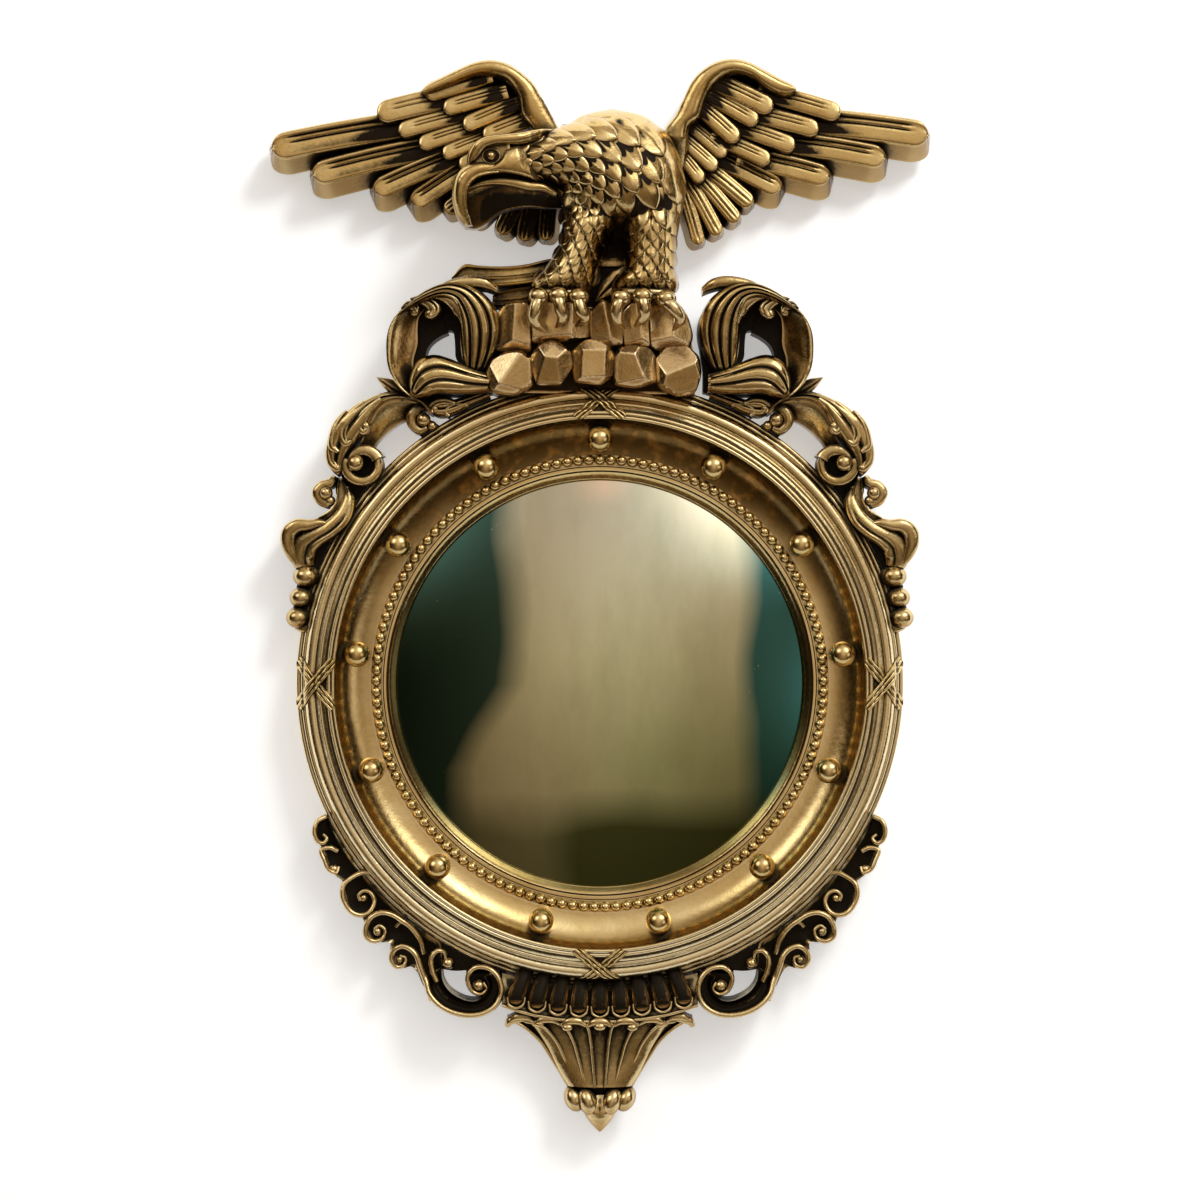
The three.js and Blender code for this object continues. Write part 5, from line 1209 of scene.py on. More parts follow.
def rim_arc(a, b, r=195.4, steps=12):
    """Points on the frame's outer wall between two angles in degrees, 0 at the top, towards the left."""
    t = np.radians(np.linspace(a, b, steps))
    return [(-r * math.sin(x), r * math.cos(x)) for x in t]


def hollowed(depth=3.0, rim=0.10):
    """A hollow between two rounded rims."""
    def shape(s, u):
        return -depth * (1 - u ** 2) + 0.9 * (bump(u, -0.93, rim)
                                              + bump(u, 0.93, rim)) - 0.8 * np.abs(u) ** 16
    return shape


def fluted(count, height=1.8, crown=2.0, fade=0.06):
    """Parallel flutes with sharp ridges over a gently crowned surface: crown (1 - u^2) + height |cos|."""
    def shape(s, u):
        ends = smooth(0, fade, s) * (1 - smooth(1 - fade, 1, s))
        flutes = 1 - np.abs(np.cos(math.pi * count * (u + 1) / 2)) ** 7
        return crown * (1 - u ** 2) + height * ends * flutes - 1.2 * np.abs(u) ** 14
    return shape


def curl_path(x, z, r, start, turn, half, front, tighten=0.62, n=16, drop=0.0):
    """Stations of a volute: the radius falls from r by the share tighten while it turns; half width
    follows."""
    t = np.linspace(0, 1, n)
    a = np.radians(start + turn * t)
    rr = r * (1 - tighten * t)
    return [(x + q * math.cos(b), z + q * math.sin(b), half * (1 - 0.45 * k), front - drop * k) for q, b,
            k in zip(rr, a, t)]


def rimline(points, radius=1.5, h=18.0, n=60, squash=1.25, taper=True):
    """A thin round rim along a path in the picture plane; h is its height, one number or a list."""
    flat_path = spline(points, n)
    heights = track(h, n)
    radii = radius * (1 - 0.35 * smooth(0.6, 1.0, np.linspace(0, 1, n)) if taper else np.ones(n))
    return cord_through(np.column_stack([flat_path[:, :2], heights]), radii, squash)


def cord_through(p, r, squash, around=12):
    """A tube straight through the given points, kept upright."""
    t = np.gradient(p, axis=0)
    t /= np.maximum(np.linalg.norm(t, axis=1, keepdims=True), 1e-9)
    side = np.stack([-t[:, 1], t[:, 0], 0 * t[:, 0]], 1)
    side /= np.maximum(np.linalg.norm(side, axis=1, keepdims=True), 1e-9)
    a = np.arange(around) * TAU / around
    rings = p[:, None] + side[:, None] * (r[:, None] * np.cos(a))[..., None]
    rings[..., 2] += r[:, None] * squash * np.sin(a)
    return tube(rings)


def lobe(points, widths, front, back=6, height=2.6, n=30):
    """A small tear-shaped leaf lobe along a path, domed, with a groove down one side."""
    stations = [(x, z, w, front) for (x, z), w in zip(points, track(widths, len(points)))]
    return sweep(stations, lambda s, u: height * (round_over(u, 0.97) - 1)
                 - 0.9 * bump(u, 0.35, 0.16) * smooth(0, 0.2, s) * (1 - smooth(0.75, 0.95, s)), back, n, 13)


def crest_scroll():
    """A hollow C band, a fluted one that curls over it, leaf lobes in the curl, and a fluted leaf at
    the foot."""
    outer_c = [(-107, 171.5), (-113, 178), (-121, 182.5), (-129, 190), (-133.8, 200), (-135.2, 212),
               (-134, 224), (-129, 234), (-121, 241.8), (-112, 247.6)]
    inner_c = [(-103, 178), (-108, 184), (-114, 190), (-118, 197), (-118.5, 206), (-116, 216), (-116, 226),
               (-115, 233), (-111, 238), (-105, 241)]
    v, f = strip(outer_c, inner_c, [30, 38, 40, 40, 40, 41], 4,
                 lambda s, u: 2.0 * bump(u, -0.82, 0.22) - 7.5 * smooth(-0.7, 1.0, u), 90, 25, (0.6, 0.3))
    # painted shade, as on downward faces, over the inner slope of the C band
    warm = np.tile(np.linspace(-1, 1, 25), 90)
    skins = [(v, f, np.concatenate([0.75j * smooth(-0.6, 0.1, warm)] * 2))]
    flutes_out = [(-129, 233.5), (-114, 246.8), (-104, 252), (-94, 254.4), (-84, 253), (-74, 247.6),
                  (-66.5, 239), (-63, 228), (-64, 216), (-68, 205), (-73, 196)]
    flutes_in = [(-128, 233), (-112, 241.0), (-103, 244), (-98, 244), (-93, 241.5), (-90.5, 236),
                 (-89, 228), (-88.6, 220), (-88, 212), (-87, 204), (-86, 197)]
    skins.append(strip(flutes_out, flutes_in, [40, 42, 44, 44.5, 44, 43, 41, 38, 34], 4,
                       fluted(4, 2.0, 4.5), 100, 41, (0.5, 0.2)))
    tip_a = [(-106, 249.5), (-96, 255.2), (-86, 257.6), (-77, 257.8), (-69.5, 255.6), (-64.4, 251.2)]
    tip_b = [(-102, 247.5), (-92, 250.2), (-84, 250.6), (-76, 250.8), (-70, 249.2), (-65, 247.2)]
    skins += [
        strip(tip_a, tip_b, [42, 46, 47, 47.5, 47, 44], 20, rolled(3.0), 50, 15),
        lobe([(-104, 244), (-96, 243.6), (-90, 240), (-87, 234), (-87.6, 228)], [0.3, 4.0, 5.4, 5.0, 0.8],
             46.0, 10, 4.0, 40),
        lobe([(-120, 244), (-113.5, 243.6), (-108, 241.4), (-104.4, 237), (-106.6, 232.6)],
             [0.3, 3.0, 3.8, 4.0, 2.4], 44.5, 16, 3.4),
        ball(-107.2, 234.6, 40.5, 3.9, 12, 18, (1, 1, 0.8)),
        lobe([(-126, 238), (-121.5, 240), (-117, 238.6), (-115.6, 235.4)], [0.2, 2.6, 2.8, 1.6], 43.5, 20,
             2.8),
        ball(-117.2, 235.8, 40.5, 3.0, 12, 18, (1, 1, 0.8)),
    ]
    low_a = [(-121.5, 185), (-121, 193), (-118.5, 200), (-113.5, 206), (-106, 208.6), (-98, 207.4),
             (-90, 204.2), (-82, 201), (-75, 198.6), (-68.6, 196.6)]
    low_b = [(-116, 181), (-112, 181.4), (-108.5, 182.6), (-105, 184), (-101, 184.4), (-95, 184.2),
             (-88, 184), (-81, 184.2), (-75, 184.8), (-68.6, 185.8)]
    skins += [
        strip(low_a, low_b, [36, 40, 42, 42, 41, 40, 39, 38, 37], 4, fluted(3, 1.9, 4.6), 90, 33,
              (0.3, 0.6)),
        lobe([(-112, 184), (-110, 192), (-106, 199), (-101.5, 202.4), (-97.8, 200.6), (-98.6, 196.4)],
             [2.2, 3.2, 3.6, 3.2, 2.6, 1.4], 44.5, 20, 3.4, 40),
        lobe([(-103.5, 190), (-101.5, 196), (-96, 198.6), (-88, 196.4), (-79, 193.4), (-70, 191.4)],
             [1.6, 2.6, 3.2, 3.0, 2.4, 1.6], 44.0, 20, 3.0, 40),
    ]
    foot_a = [(-118, 184), (-111, 181), (-104, 180), (-95, 181), (-84, 184), (-72, 188)]
    foot_b = [(-108, 172.5), (-104, 170.6), (-99, 170.5), (-92, 172.5), (-82, 177.6), (-70, 182.6)]
    skins += [
        strip(foot_a, foot_b, [24, 26, 26, 26, 25, 24], 3, fluted(2, 1.4, 2.0), 50, 21),
        lobe([(-92, 178.5), (-98, 180.4), (-104.4, 179.6), (-108.4, 176), (-106.6, 172.2)],
             [1.8, 2.8, 3.2, 3.2, 1.8], 31, 6, 3.2),
        ball(-105.4, 175.4, 27.5, 3.0, 12, 16),
        lobe([(-84, 177.6), (-90, 177.8), (-95.6, 176.2), (-98, 173), (-96, 170.6)],
             [1.4, 2.2, 2.6, 2.4, 1.4], 29, 6, 2.8),
    ]
    behind_a = [(-110, 240), (-90, 246), (-70, 240), (-64, 228), (-64, 214), (-66, 200), (-66, 186)]
    behind_b = [(-100, 226), (-94, 225), (-93, 221), (-92.5, 214), (-92, 208), (-84, 196), (-76, 184)]
    skins.append(strip(behind_a, behind_b, 22, 4, flat, 50, 9))
    web_a = [(-131, 196), (-133, 210), (-130, 226), (-120, 238), (-106, 246)]
    web_b = [(-112, 205), (-110.4, 213), (-108, 217), (-103, 221), (-97, 224)]
    skins.append(strip(web_a, web_b, 24, 4, flat, 40, 9))
    both_sides("crest_leaf_scroll", "crest_scroll", skins)


def shoulder_leaf():
    """A fluted leaf along the rim with lobes, a ring and a small bud at its lower end."""
    outer = [(-112, 182), (-120, 184.6), (-129, 186), (-139.5, 184.8), (-149, 181), (-158, 175.6),
             (-165.6, 169), (-171, 161.4), (-173.8, 153), (-174.2, 144), (-171.6, 136.4), (-167.6, 132.6)]
    inner = [(-113, 178), (-121, 180.4), (-129, 181), (-136, 179.4), (-141.4, 175.4), (-145, 169.5),
             (-148.6, 163), (-152.4, 157.5), (-156.4, 152), (-160.4, 146), (-163, 140), (-164.4, 135)]
    skins = [strip(outer, inner, [22, 26, 29, 31, 33, 34, 34, 33, 32, 30, 28], 4, fluted(2, 2.0, 2.2), 90,
                   29, (0.6, 0.3))]
    under_a = [(-113, 179), (-121, 180.6), (-129, 181), (-136, 179.6), (-142, 175), (-146, 168),
               (-150, 160), (-153, 153.4), (-156, 148)]
    under_b = [(-117, 167.4), (-122, 168.6), (-128, 166.6), (-134, 162.4), (-139, 158), (-143, 153.6),
               (-145, 150.4), (-146, 148), (-148, 145)]
    skins += [
        strip(under_a, under_b, [24, 25, 26, 27, 27, 26, 26], 3, lambda s, u: -9 * smooth(-1.1, 1.1, u), 60,
              17),
        lobe([(-139, 181), (-145, 176.5), (-150.6, 170.5), (-152.6, 164.4), (-150, 160.4), (-147, 162.6)],
             [1.6, 3.0, 3.8, 3.6, 2.8, 1.6], 37, 8, 3.6, 40),
        ball(-148.4, 163.8, 34.5, 3.0, 12, 16),
        lobe([(-150, 179), (-157, 172.6), (-161.8, 165), (-163.6, 157.6), (-161, 152.6), (-157.6, 154.4)],
             [1.4, 2.8, 3.4, 3.4, 2.8, 1.5], 37.5, 8, 3.4, 40),
        lobe([(-161, 173.6), (-166.6, 165.6), (-169.4, 157.4), (-169.6, 150.6), (-166, 147.4)],
             [1.2, 2.6, 3.0, 3.0, 1.6], 36.5, 8, 3.2, 36),
        lobe([(-171.6, 156), (-172.2, 148), (-170.6, 140.6), (-166.8, 136.4)], [1.2, 2.4, 3.0, 2.6], 34.5,
             8, 3.0, 30),
        ball(-167.2, 137.2, 31.5, 3.1, 12, 16),
    ]
    ring = curl_path(-151.4, 139.4, 10.8, 160, 360, 3.4, 32, 0.10, 24, 1)
    skins += [
        sweep(ring, rolled(2.6), 4, 70, 13),
        sweep(curl_path(-151.4, 139.6, 10.6, 20, 190, 4.2, 33, 0.42, 16, 0), rolled(2.8), 6, 50, 13),
        ball(-155.4, 140.6, 31, 5.3, 16, 22, (1, 1, 0.85)),
        strip([(-164, 134), (-152, 128), (-141, 132)], [(-163, 146), (-152, 150), (-142, 146)], 18, 4, flat,
              20, 7),
    ]
    stem = [(-165.4, 131, 1.6, 27), (-164.6, 124, 3.0, 27), (-164.4, 117, 3.8, 27), (-167, 110.6, 4.2, 27),
            (-172, 105.6, 4.4, 27), (-178.6, 102.4, 4.0, 26)]
    skins += [
        sweep(stem, hollowed(1.4, 0.16), 4, 50, 15),
        strip([(-168, 132), (-169.5, 124), (-168, 116), (-171, 110)],
              [(-157, 126), (-158, 118), (-161, 111), (-165, 105)], 16, 3, flat, 24, 7),
    ]
    bud = [(-169.6, 132.6, 1.6, 27), (-172, 128.2, 3.0, 28), (-177, 126.2, 3.4, 28), (-180.2, 122, 3.6, 28),
           (-178, 117, 3.4, 27), (-173, 113.6, 2.4, 26)]
    skins += [
        sweep(bud, rolled(2.6), 5, 50, 13),
        ball(-174.8, 121.6, 25.5, 4.4, 14, 18),
        ball(-172.4, 116.6, 23.5, 3.6, 12, 16),
        lobe([(-122, 183.4), (-129, 187.4), (-136, 191.6), (-142.4, 195.4)], [2.6, 4.4, 3.4, 0.3], 28, 4,
             3.4),
        lobe([(-124, 181), (-132, 183.4), (-141.6, 184.8)], [2.6, 3.4, 0.3], 26, 4, 3.0),
        strip([(-166, 134), (-164.4, 122), (-166, 111)], rim_arc(46.0, 57.0, 195.5, 8), 15, 3, flat, 24, 11),
    ]
    small = [(-110.4, 176.6, 2.0, 26), (-115.6, 175.6, 3.0, 27), (-120, 171.4, 3.2, 27),
             (-120, 166, 3.2, 26), (-115.6, 162, 2.8, 25), (-110.6, 163.6, 2.0, 24)]
    skins += [
        sweep(small, rolled(2.6), 4, 44, 13),
        ball(-112.6, 168.6, 24, 4.6, 14, 18),
        ball(-107.4, 164.8, 22, 3.2, 12, 16),
        strip([(-119, 175), (-121, 168), (-117, 160.5)], rim_arc(32.0, 36.0, 195.5, 4), 15, 3, flat, 20, 7),
    ]
    both_sides("shoulder_leaf_scroll", "shoulder_leaf", skins)


def side_volute():
    """A flared cup on a stem, over three balls that lie against the rim."""
    stem = [(-161.4, 126, 2.0, 25), (-160.8, 116, 4.4, 28), (-164.4, 106.4, 5.4, 30),
            (-172.4, 98.6, 5.6, 30), (-181, 93.6, 6.2, 29), (-187.8, 88.4, 7.6, 27),
            (-190.2, 80.6, 7.6, 25), (-189.4, 74.6, 6.0, 22)]
    skins = [sweep(stem, lambda s, u: 4.0 * (round_over(u, 0.95) - 1)
                   - 1.6 * bump(u, 0.25, 0.2) * smooth(0.15, 0.4, s), 4, 90, 23)]
    lip = [(-172, 101.6, 1.6, 28), (-178.6, 102.4, 2.8, 30), (-186, 101.2, 3.6, 31), (-193, 100.8, 4.4, 31),
           (-198.2, 96.6, 4.8, 30), (-199.2, 89.6, 4.4, 28.5), (-197, 82.6, 3.6, 26.5),
           (-194.4, 77, 2.2, 24)]
    skins += [
        sweep(lip, rolled(3.6), 4, 90, 19),
        strip([(-176, 101.5), (-186, 100.6), (-193, 98.6), (-196, 92), (-195.6, 84)],
              [(-173, 97.4), (-180.4, 94), (-186, 90.6), (-188.6, 86), (-189.4, 80)], 24, 4,
              lambda s, u: -3.0 * (1 - u ** 2), 50, 17),
    ]
    for x, z, r in ((-188.4, 68.6, 7.6), (-191.4, 54.8, 6.9), (-193.6, 42.0, 7.0)):
        skins.append(ball(x, z, 15.6, r, 26, 36, (1.12, 0.98, 1.25)))
    skins += [
        strip([(-194, 77), (-193.6, 70), (-195, 62), (-196.4, 52), (-198, 44), (-196, 37.4), (-191, 33.6)],
              rim_arc(67.5, 80.2, 195.5, 12), 11, 3, flat, 50, 9),
        sweep([(-184, 37.0, 2.4, 17), (-190, 35.2, 2.8, 18), (-195.6, 36.4, 1.8, 16)], rolled(2.4), 3, 30,
              11),
        strip([(-163, 126), (-167, 114), (-173, 103), (-184, 95), (-192, 92), (-196, 84), (-194, 77)],
              rim_arc(51.0, 68.2, 195.5, 12), 14, 3, flat, 50, 9),
    ]
    both_sides("cup_volute", "side_volute", skins)


def apron_scroll():
    """A leaf-edged plate with rims that curl into balls, and a hollow bowl at its lower end."""
    edge = [(-174, -86), (-181, -89), (-183, -96), (-181.6, -102), (-178, -106.4), (-176.6, -113),
            (-174, -119), (-170, -123.6), (-165.4, -127.4), (-165.2, -134.5), (-163.4, -142.4),
            (-158.8, -148.4), (-152.6, -150.8), (-151, -155.2), (-150.6, -160.4), (-147, -165.4),
            (-140.4, -166.6), (-135, -166.6), (-134.6, -173), (-132.4, -179.6), (-127, -183.2),
            (-121, -182.2), (-117.4, -185.6), (-114, -193), (-109.6, -200.6)]
    inner = rim_arc(116.4, 148.2, 195.5, 20) + [(-101.6, -172), (-101.2, -180), (-101, -188)]
    skins = [toned(strip(edge, inner, 13.5, 3, lambda s, u: -2.5 * (1 - u ** 2), 170, 13, (0.8, 0.0)),
                     0.26)]
    skins.append(strip(rim_arc(147.4, 156.6, 195.5, 8),
                       [(-103, -183), (-98, -184.4), (-92, -185), (-86, -184.6)], 13, 3, flat, 24, 7))
    bowl_a = [(-110.6, -188), (-109, -197.6), (-103.6, -205), (-95.4, -209.8), (-85.4, -212),
              (-75.4, -211.4), (-67.6, -206.6), (-63.4, -199), (-62.6, -191), (-65, -183.6)]
    bowl_b = [(-101.4, -182), (-100.4, -190), (-96.6, -196), (-91, -200), (-84.8, -202.4), (-79.6, -202.6),
              (-74.6, -200), (-72, -196), (-71.6, -191.6), (-74, -187.6)]
    skins += [
        toned(strip(bowl_a, bowl_b, [20, 22, 24, 25, 25.5, 25, 24, 23], 3,
                      lambda s, u: -5.5 * (1 - u ** 2) + 0.7 * bump(u, 0.05, 0.3), 90, 25, (0.6, 0.4)),
                0.16),
        strip([(-86, -184.6), (-85.6, -190), (-83.4, -196), (-79, -201)],
              [(-80, -174), (-68, -181), (-66, -192), (-70, -202)], 12, 3, flat, 24, 9),
        strip(rim_arc(155.6, 162.2, 195.5, 6), [(-86, -185), (-80, -187), (-72, -186), (-64.4, -188)], 12,
              3, flat, 20, 7),
        rimline([(-175.4, -85.4), (-181, -88.6), (-183, -95), (-181, -101), (-177.4, -102.6), (-175, -99.6),
                 (-177.6, -97)], 1.6, [15, 17, 18, 18, 17, 16, 15], 60),
        rimline([(-168, -108), (-173, -105.6), (-178.6, -107), (-176.6, -113), (-173.4, -119.6),
                 (-168.6, -121.4), (-167.2, -117.6)], 1.6, [15, 16, 17, 18, 18.5, 18, 16], 60),
        ball(-170.4, -119.4, 15.5, 3.1, 12, 16),
        rimline([(-146, -122), (-151.6, -121.6), (-157.8, -123.9), (-163.4, -128.2), (-164.8, -134.4),
                 (-162.6, -141.6), (-157.9, -147), (-151.6, -148.4), (-146.4, -145.2), (-144.5, -139.4),
                 (-147.2, -134.2), (-151.8, -133.2), (-154.6, -136.2), (-153.4, -139.4)], 1.8,
                [14, 15, 17, 19, 20, 20, 20, 20, 19, 18, 17, 17, 17, 17], 110),
        ball(-151.4, -137.8, 15.5, 2.6, 12, 16),
        rimline([(-112.6, -174), (-114.6, -167), (-117.6, -160.6), (-122, -155.4), (-128, -151),
                 (-134, -147.6), (-140.4, -146.8), (-146.4, -149.8), (-149.8, -156.4), (-149.4, -162.4),
                 (-144.6, -165.2), (-139.2, -163.4), (-137.6, -158.2), (-141.4, -155.2), (-144.6, -157.6)],
                1.8, [14, 16, 18, 19, 20, 20, 21, 21, 21, 21, 20, 19, 18, 18, 18], 120),
        ball(-142.4, -159.2, 16.5, 3.0, 12, 16),
        rimline([(-131, -156.6), (-127.4, -153.4), (-122, -156), (-118.6, -161.6)], 1.3, [15, 17, 17, 15],
                30),
        rimline([(-107.6, -203), (-109.6, -196), (-112.4, -188), (-115, -180.6), (-117.6, -173.8),
                 (-121.8, -169.6), (-127.4, -168.2), (-132.4, -171.8), (-133.4, -177.2), (-130, -181.6),
                 (-125.4, -180.4), (-124.6, -175.8), (-128, -174.6)], 1.9,
                [20, 21, 21.5, 22, 22, 22, 21.5, 21, 20, 20, 19, 18, 18], 110),
        ball(-128.6, -177.2, 17, 2.8, 12, 16),
        rimline([(-104.4, -191), (-107.4, -183), (-107.8, -175.6), (-104, -171.2), (-99.6, -172.4),
                 (-98.6, -177)], 1.8, [20, 20.5, 21, 21, 20, 18], 50),
        ball(-97.2, -179.6, 17, 3.9, 14, 18),
        rimline([(-114.6, -182), (-111, -190.6), (-108.6, -198.4), (-102.6, -205), (-94, -209.6),
                 (-83.8, -211.6), (-74, -210.2), (-66.2, -204.8), (-63, -196.2), (-65.2, -187.4),
                 (-71, -182.2), (-78.6, -181.4), (-83.8, -185.4), (-84.4, -191.4), (-81.2, -197.2),
                 (-75.8, -198.8), (-72.2, -195.4), (-74.6, -191.4)], 1.9,
                [20, 22, 24, 25, 26, 26.5, 26.5, 26, 25, 24, 24, 23.5, 23, 22, 22, 21, 21, 21], 150),
        ball(-77.4, -193.6, 19, 4.0, 14, 18),
    ]
    both_sides("apron_leaf_scroll", "apron_scroll", skins)


# ------------------------------------------------------------------ pendant
def collar():
    """Nine gadroons that bulge over a hollow, above a thin lip."""
    skins = []
    for i in range(9):
        k = i - 4
        x = k * 13.35
        drop = (x / 60) ** 2 * 7.4
        top_x, mid_x = x * 0.83, x * 0.94
        stations = [(top_x, -186 + drop * 1.2, 4.0, 20), (mid_x, -197 + drop, 5.2, 27),
                    (x, -205.6 + drop, 5.7, 29), (x * 1.005, -210.4 + drop, 4.6, 27),
                    (x * 1.01, -212.4 + drop, 1.2, 24)]
        skins += [
            # a darker tone, and painted shade as on downward faces over each whole gadroon
            toned(sweep(stations, lambda s, u: 4.2 * (round_over(u, 0.96) - 1)
                          + 0.8 * smooth(0.80, 0.88, s) * (1 - smooth(0.93, 1, s)), 6, 46, 19), 0.22 + 0.9j),
            rimline([(x - 5.6, -205.8 + drop), (x - 4.6, -210.4 + drop), (x, -212.6 + drop),
                     (x + 4.6, -210.4 + drop), (x + 5.6, -205.8 + drop)], 0.8, [27, 27.5, 27.5, 27.5, 27],
                    30, 1.1, False),
        ]
    lip = [(-62.6, -205.6), (-45, -210.8), (-24, -214.4), (0, -215.8), (24, -214.4), (45, -210.8),
           (62.6, -205.6)]
    skins.append(rimline(lip, 1.2, [24, 25, 26, 26, 26, 25, 24], 80, 1.2, False))
    bed_a = [(-62.6, -186), (-40, -191.4), (-20, -194.6), (0, -195.6), (20, -194.6), (40, -191.4),
             (62.6, -186)]
    bed_b = [(-62.8, -206), (-45, -211.2), (-24, -214.8), (0, -216.2), (24, -214.8), (45, -211.2),
             (62.8, -206)]
    skins.append(strip(bed_a, bed_b, 19, 3, lambda s, u: 4 * smooth(0.2, 1, u) - 3 * (1 - smooth(-1, 0, u)),
                       80, 13))
    piece("gadrooned_collar", skins, DARK_GOLD, replaces=["gadroon_collar"], sharp=45)


FLUTE_EDGES = (-1.0, -0.72, -0.43, -0.145, 0.145, 0.43, 0.72, 1.0)   # shares of the console's half width


def bulge(k):
    """Front of the console at the share k of its half width: 26.5 - 9.5 |k|^1.6."""
    return 26.5 - 9.5 * abs(k) ** 1.6


def console():
    """Seven flutes that narrow towards the foot, each a hollow between two rims, with curled tops."""
    skins = []
    profile = [(-59.5, -214), (-54, -217.6), (-49, -219), (-43.6, -222), (-37.4, -230), (-31, -241),
               (-25, -251.6), (-20.6, -258.6)]
    right = [(-x, z) for x, z in profile]
    skins.append(strip(profile, right, [15, 15, 15, 14, 14, 14], 3, lambda s, u: 7.5 * round_over(u), 70,
                       33))
    lines = []
    for k in FLUTE_EDGES:
        xs = [58 * k, 47.5 * k, 38 * k, 31.5 * k, 25.4 * k, 20.4 * k]
        rise = abs(k) ** 2
        zs = [-217.6 + 3.0 * rise, -221.6 + 0.6 * rise, -230, -240, -250, -258.6]
        lines.append(list(zip(xs, zs)))
    for a, b in zip(lines[:-1], lines[1:]):
        k = (a[0][0] + b[0][0]) / 116
        f = bulge(k)
        mid_top = ((a[0][0] + b[0][0]) / 2, (a[0][1] + b[0][1]) / 2)
        skins.append(strip(a, b, [f + 1.5, f, f - 2, f - 3.5, f - 5, f - 6], 6,
                           lambda s, u: -4.2 * (1 - np.abs(u) ** 3.0) + 0.5 * bump(u, 0.0, 0.2), 60, 21))
        half = abs(b[0][0] - a[0][0]) / 2
        skins.append(sweep([(mid_top[0] - half * 0.95, mid_top[1] - 1.0, 1.6, f + 2.0),
                            (mid_top[0] - half * 0.4, mid_top[1] + 1.8, 2.4, f + 3.6),
                            (mid_top[0] + half * 0.4, mid_top[1] + 1.8, 2.4, f + 3.6),
                            (mid_top[0] + half * 0.95, mid_top[1] - 1.0, 1.6, f + 2.0)], rolled(2.2), 8, 26,
                           11))
    for line, k in zip(lines, FLUTE_EDGES):
        f = bulge(k)
        skins.append(rimline(line, 1.15, [f + 2.0, f + 0.8, f - 1, f - 2.6, f - 4.2, f - 5], 60, 1.3, False))
    for x, z, r, k in ((0, -218.6, 3.6, 0), (-20.6, -219.4, 3.2, 0.36), (20.6, -219.4, 3.2, 0.36),
                       (-38.6, -217.6, 2.8, 0.66), (38.6, -217.6, 2.8, 0.66)):
        skins.append(ball(x, z, bulge(k) + 1.6, r, 12, 18, (1.15, 0.8, 0.8)))
    for side in (-1, 1):
        skins.append(sweep([(side * 44, -214.4, 2.2, 20), (side * 51, -214.6, 2.8, 21),
                            (side * 57.4, -216.4, 2.6, 21), (side * 59.8, -220, 1.6, 19)], rolled(2.4), 5,
                           30, 11))
    piece("fluted_console", skins, DARK_GOLD, replaces=["pendant_console"], sharp=45)


def bud():
    """Four swelling lobes round a pointed cone."""
    skins = []
    for x, z, half, tall, h, deep in ((-16.6, -267.0, 6.6, 8.4, 12.5, 8.5),
                                      (16.6, -267.0, 6.6, 8.4, 12.5, 8.5),
                                      (-7.6, -268.0, 7.0, 9.6, 14.5, 9.5),
                                      (7.6, -268.0, 7.0, 9.6, 14.5, 9.5)):
        t = np.linspace(0, math.pi, 22)[:, None]
        a = np.linspace(0, TAU, 30, endpoint=False)[None, :]
        fold = 1 - 0.10 * np.exp(-((np.sin(a) * np.sign(x) - 0.2) / 0.16) ** 2) * np.sin(t)
        px = x + half * np.sin(t) * np.cos(a) * fold + 0.18 * tall * np.cos(t) * np.sign(x)
        pz = z + tall * np.cos(t) + 0 * a
        ph = h + deep * np.sin(t) * np.sin(a) * fold
        skins.append(toned(outward(np.dstack([px, pz, np.maximum(ph, 3)]).reshape(-1, 3),
                                     quads(22, 30, wrap_cols=True)), 0.15))
    z = np.array([-264, -270, -275, -279, -283, -286, -288.6])
    r = np.array([7, 10.5, 10.8, 9.0, 6.0, 3.2, 0.4])
    fine = np.linspace(0, 1, 30)
    zz, rr = np.interp(fine, np.linspace(0, 1, 7), z), np.interp(fine, np.linspace(0, 1, 7), r)
    a = np.arange(32) * TAU / 32
    notch = 1 - 0.12 * np.exp(-((a - math.pi / 2) / 0.22) ** 2)[None, :] * smooth(-282, -272, zz)[:, None]
    rings = np.dstack([rr[:, None] * np.cos(a) * notch, np.broadcast_to(zz[:, None], (30, 32)),
                       np.maximum(11.5 + 0.95 * rr[:, None] * np.sin(a) * notch, 3)])
    skins += [
        tube(rings),
        strip([(-21, -259.4), (0, -258.8), (21, -259.4)], [(-15, -272), (0, -276), (15, -272)], 12, 3, flat,
              20, 9),
    ]
    piece("lobed_bud", skins, DARK_GOLD, replaces=["pendant_bud"], sharp=50)


crest_scroll()
shoulder_leaf()
side_volute()
apron_scroll()
collar()
console()
bud()


# ------------------------------------------------------------------ finishes of the kept CAD nodes
def dress(names, material):
    """Gives the kept nodes their finish."""
    for name in names:
        node = nodes[name]
        node.data.materials.clear()
        node.data.materials.append(material)


dress(["back_panel"], BOARD)
dress([n for n in nodes if n.startswith(("hanger_strap", "d_ring", "strap_screw", "turn_button_screw"))],
      ZINC)
dress([n for n in nodes if n.startswith("turn_button_") and "screw" not in n], BRASS)
dress([n for n in nodes if n.startswith("bumper")], RUBBER)
for name, node in nodes.items():
    if not node.hide_render and name.startswith(("eagle", "wing", "tail", "talon", "rock", "crest",
                                                 "shoulder", "side", "apron", "gadroon", "pendant")):
        dress([name], DARK_GOLD)


# ------------------------------------------------------------------ stage
WALL_Y = 0.0072              # the wall behind the back (m)
FLOOR_Z = -1.35
ROOM = 3                     # half width and height of the wall
FLOOR_DEPTH = 0.9


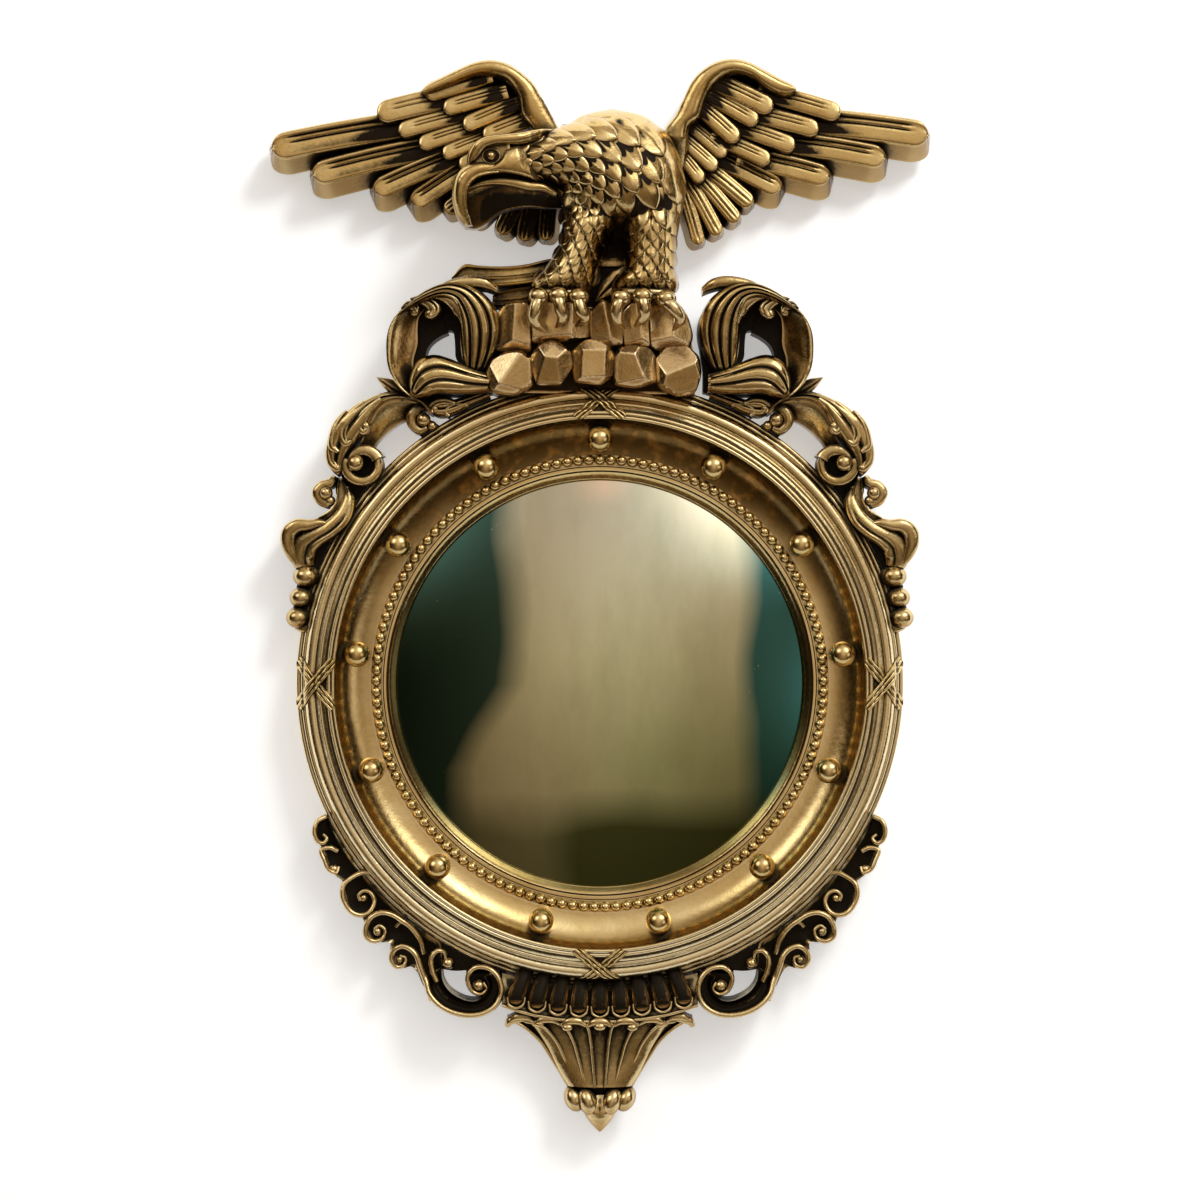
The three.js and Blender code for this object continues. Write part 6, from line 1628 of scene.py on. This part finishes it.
def stage_plane(name, corners):
    """A flat stage piece."""
    mesh = bpy.data.meshes.new(name)
    mesh.from_pydata(corners, [], [(0, 1, 2, 3)])
    o = bpy.data.objects.new(name, mesh)
    bpy.context.scene.collection.objects.link(o)
    return o


def stage_paint(name, lift):
    """Pale plaster that lets rays through from behind, and lifts what the camera and mirrors see
    towards white."""
    n = Nodes(name)
    path = n.tree.nodes.new("ShaderNodeLightPath")
    seen = n.maths("MAXIMUM", path.outputs["Is Camera Ray"],
                   n.maths("MAXIMUM", path.outputs["Is Glossy Ray"], path.outputs["Is Transmission Ray"]))
    matte = n.add("ShaderNodeBsdfDiffuse", Color=(0.83, 0.855, 0.88, 1))
    glow = n.add("ShaderNodeEmission", Color=(1, 1, 1, 1), Strength=n.maths("MULTIPLY", seen, lift))
    both = n.tree.nodes.new("ShaderNodeAddShader")
    n.tree.links.new(matte.outputs[0], both.inputs[0])
    n.tree.links.new(glow.outputs[0], both.inputs[1])
    clear = n.add("ShaderNodeBsdfTransparent")
    mixer = n.tree.nodes.new("ShaderNodeMixShader")
    n.tree.links.new(n.tree.nodes.new("ShaderNodeNewGeometry").outputs["Backfacing"], mixer.inputs[0])
    n.tree.links.new(both.outputs[0], mixer.inputs[1])
    n.tree.links.new(clear.outputs[0], mixer.inputs[2])
    return n.finish(mixer)


wall = stage_plane("wall", [(-ROOM, WALL_Y, FLOOR_Z), (ROOM, WALL_Y, FLOOR_Z), (ROOM, WALL_Y, ROOM),
                            (-ROOM, WALL_Y, ROOM)])
floor = stage_plane("floor", [(-ROOM, -FLOOR_DEPTH, FLOOR_Z), (ROOM, -FLOOR_DEPTH, FLOOR_Z),
                              (ROOM, WALL_Y, FLOOR_Z), (-ROOM, WALL_Y, FLOOR_Z)])
wall.data.materials.append(stage_paint("wall_paint", 0.42))
floor.data.materials.append(stage_paint("floor_paint", 0.0))


# each glow of the sky: its direction, strength and tightness
SKY_BASE = 0.02
SKY_GLOWS = [((0.15, -0.75, 0.65), 0.72, 6.0), ((0.48, -0.62, 0.62), 3.6, 34.0),
             ((-0.60, -0.60, 0.52), 2.3, 30.0), ((0.0, -0.15, 0.99), 0.4, 10.0),
             ((0.05, -1.0, 0.05), 0.36, 7.0), ((0.0, -0.75, -0.66), 0.18, 4.0),
             ((0.75, -0.65, -0.05), 0.9, 40.0)]


def studio():
    """A soft sky, the sum of strength cos^tightness over its glows: brightest high on the right and
    left, warmer where dim."""
    world = bpy.data.worlds.new("studio")
    bpy.context.scene.world = world
    world.use_nodes = True
    tree = world.node_tree
    tree.nodes.clear()
    out = tree.nodes.new("ShaderNodeOutputWorld")
    background = tree.nodes.new("ShaderNodeBackground")
    direction = tree.nodes.new("ShaderNodeTexCoord").outputs["Generated"]
    total = None
    for (x, y, z), strength, tightness in SKY_GLOWS:
        length = math.sqrt(x * x + y * y + z * z)
        dot = tree.nodes.new("ShaderNodeVectorMath")
        dot.operation = "DOT_PRODUCT"
        dot.inputs[1].default_value = (x / length, y / length, z / length)
        tree.links.new(direction, dot.inputs[0])
        steps = [("MAXIMUM", dot.outputs["Value"], 0.0), ("POWER", None, tightness),
                 ("MULTIPLY", None, strength)]
        value = None
        for operation, source, number in steps:
            node = tree.nodes.new("ShaderNodeMath")
            node.operation = operation
            tree.links.new(source or value, node.inputs[0])
            node.inputs[1].default_value = number
            value = node.outputs[0]
        node = tree.nodes.new("ShaderNodeMath")
        node.operation = "ADD"
        tree.links.new(value, node.inputs[0])
        if total is None:
            node.inputs[1].default_value = SKY_BASE
        else:
            tree.links.new(total, node.inputs[1])
        total = node.outputs[0]
    tint = tree.nodes.new("ShaderNodeMix")
    tint.data_type = "RGBA"
    tree.links.new(total, tint.inputs[0])
    tint.inputs[6].default_value = (1.0, 0.66, 0.32, 1)
    tint.inputs[7].default_value = (1.0, 0.985, 0.955, 1)
    tree.links.new(tint.outputs[2], background.inputs["Color"])
    tree.links.new(total, background.inputs["Strength"])
    tree.links.new(background.outputs[0], out.inputs["Surface"])


def lamp(name, location, target, size, power):
    """A round soft lamp aimed at a point, unseen in reflections."""
    light = bpy.data.lights.new(name, "AREA")
    light.shape = "DISK"
    light.size = size
    light.energy = power
    o = bpy.data.objects.new(name, light)
    bpy.context.scene.collection.objects.link(o)
    o.location = location
    away = np.subtract(target, location)
    o.rotation_euler = Vector(away).to_track_quat("-Z", "Y").to_euler()
    o.visible_glossy = False


studio()
lamp("key", (0.85, -1.3, 1.5), (0, 0, 0.05), 0.55, 22)

CAMERA_AT = (0.0001, -1.9, 0.0533)
HALF_PICTURE = 0.381         # half the side of the picture (m) at the front of the rim
RIM_DISTANCE = 1.865         # from the camera to there
camera_data = bpy.data.cameras.new("camera")
camera = bpy.data.objects.new("camera", camera_data)
bpy.context.scene.collection.objects.link(camera)
camera.location = CAMERA_AT
camera.rotation_euler = (math.radians(90), 0, 0)
camera_data.angle = 2 * math.atan(HALF_PICTURE / RIM_DISTANCE)
camera_data.clip_start = 0.05
camera_data.clip_end = 50
bpy.context.scene.camera = camera
bpy.context.scene.view_settings.view_transform = "Standard"
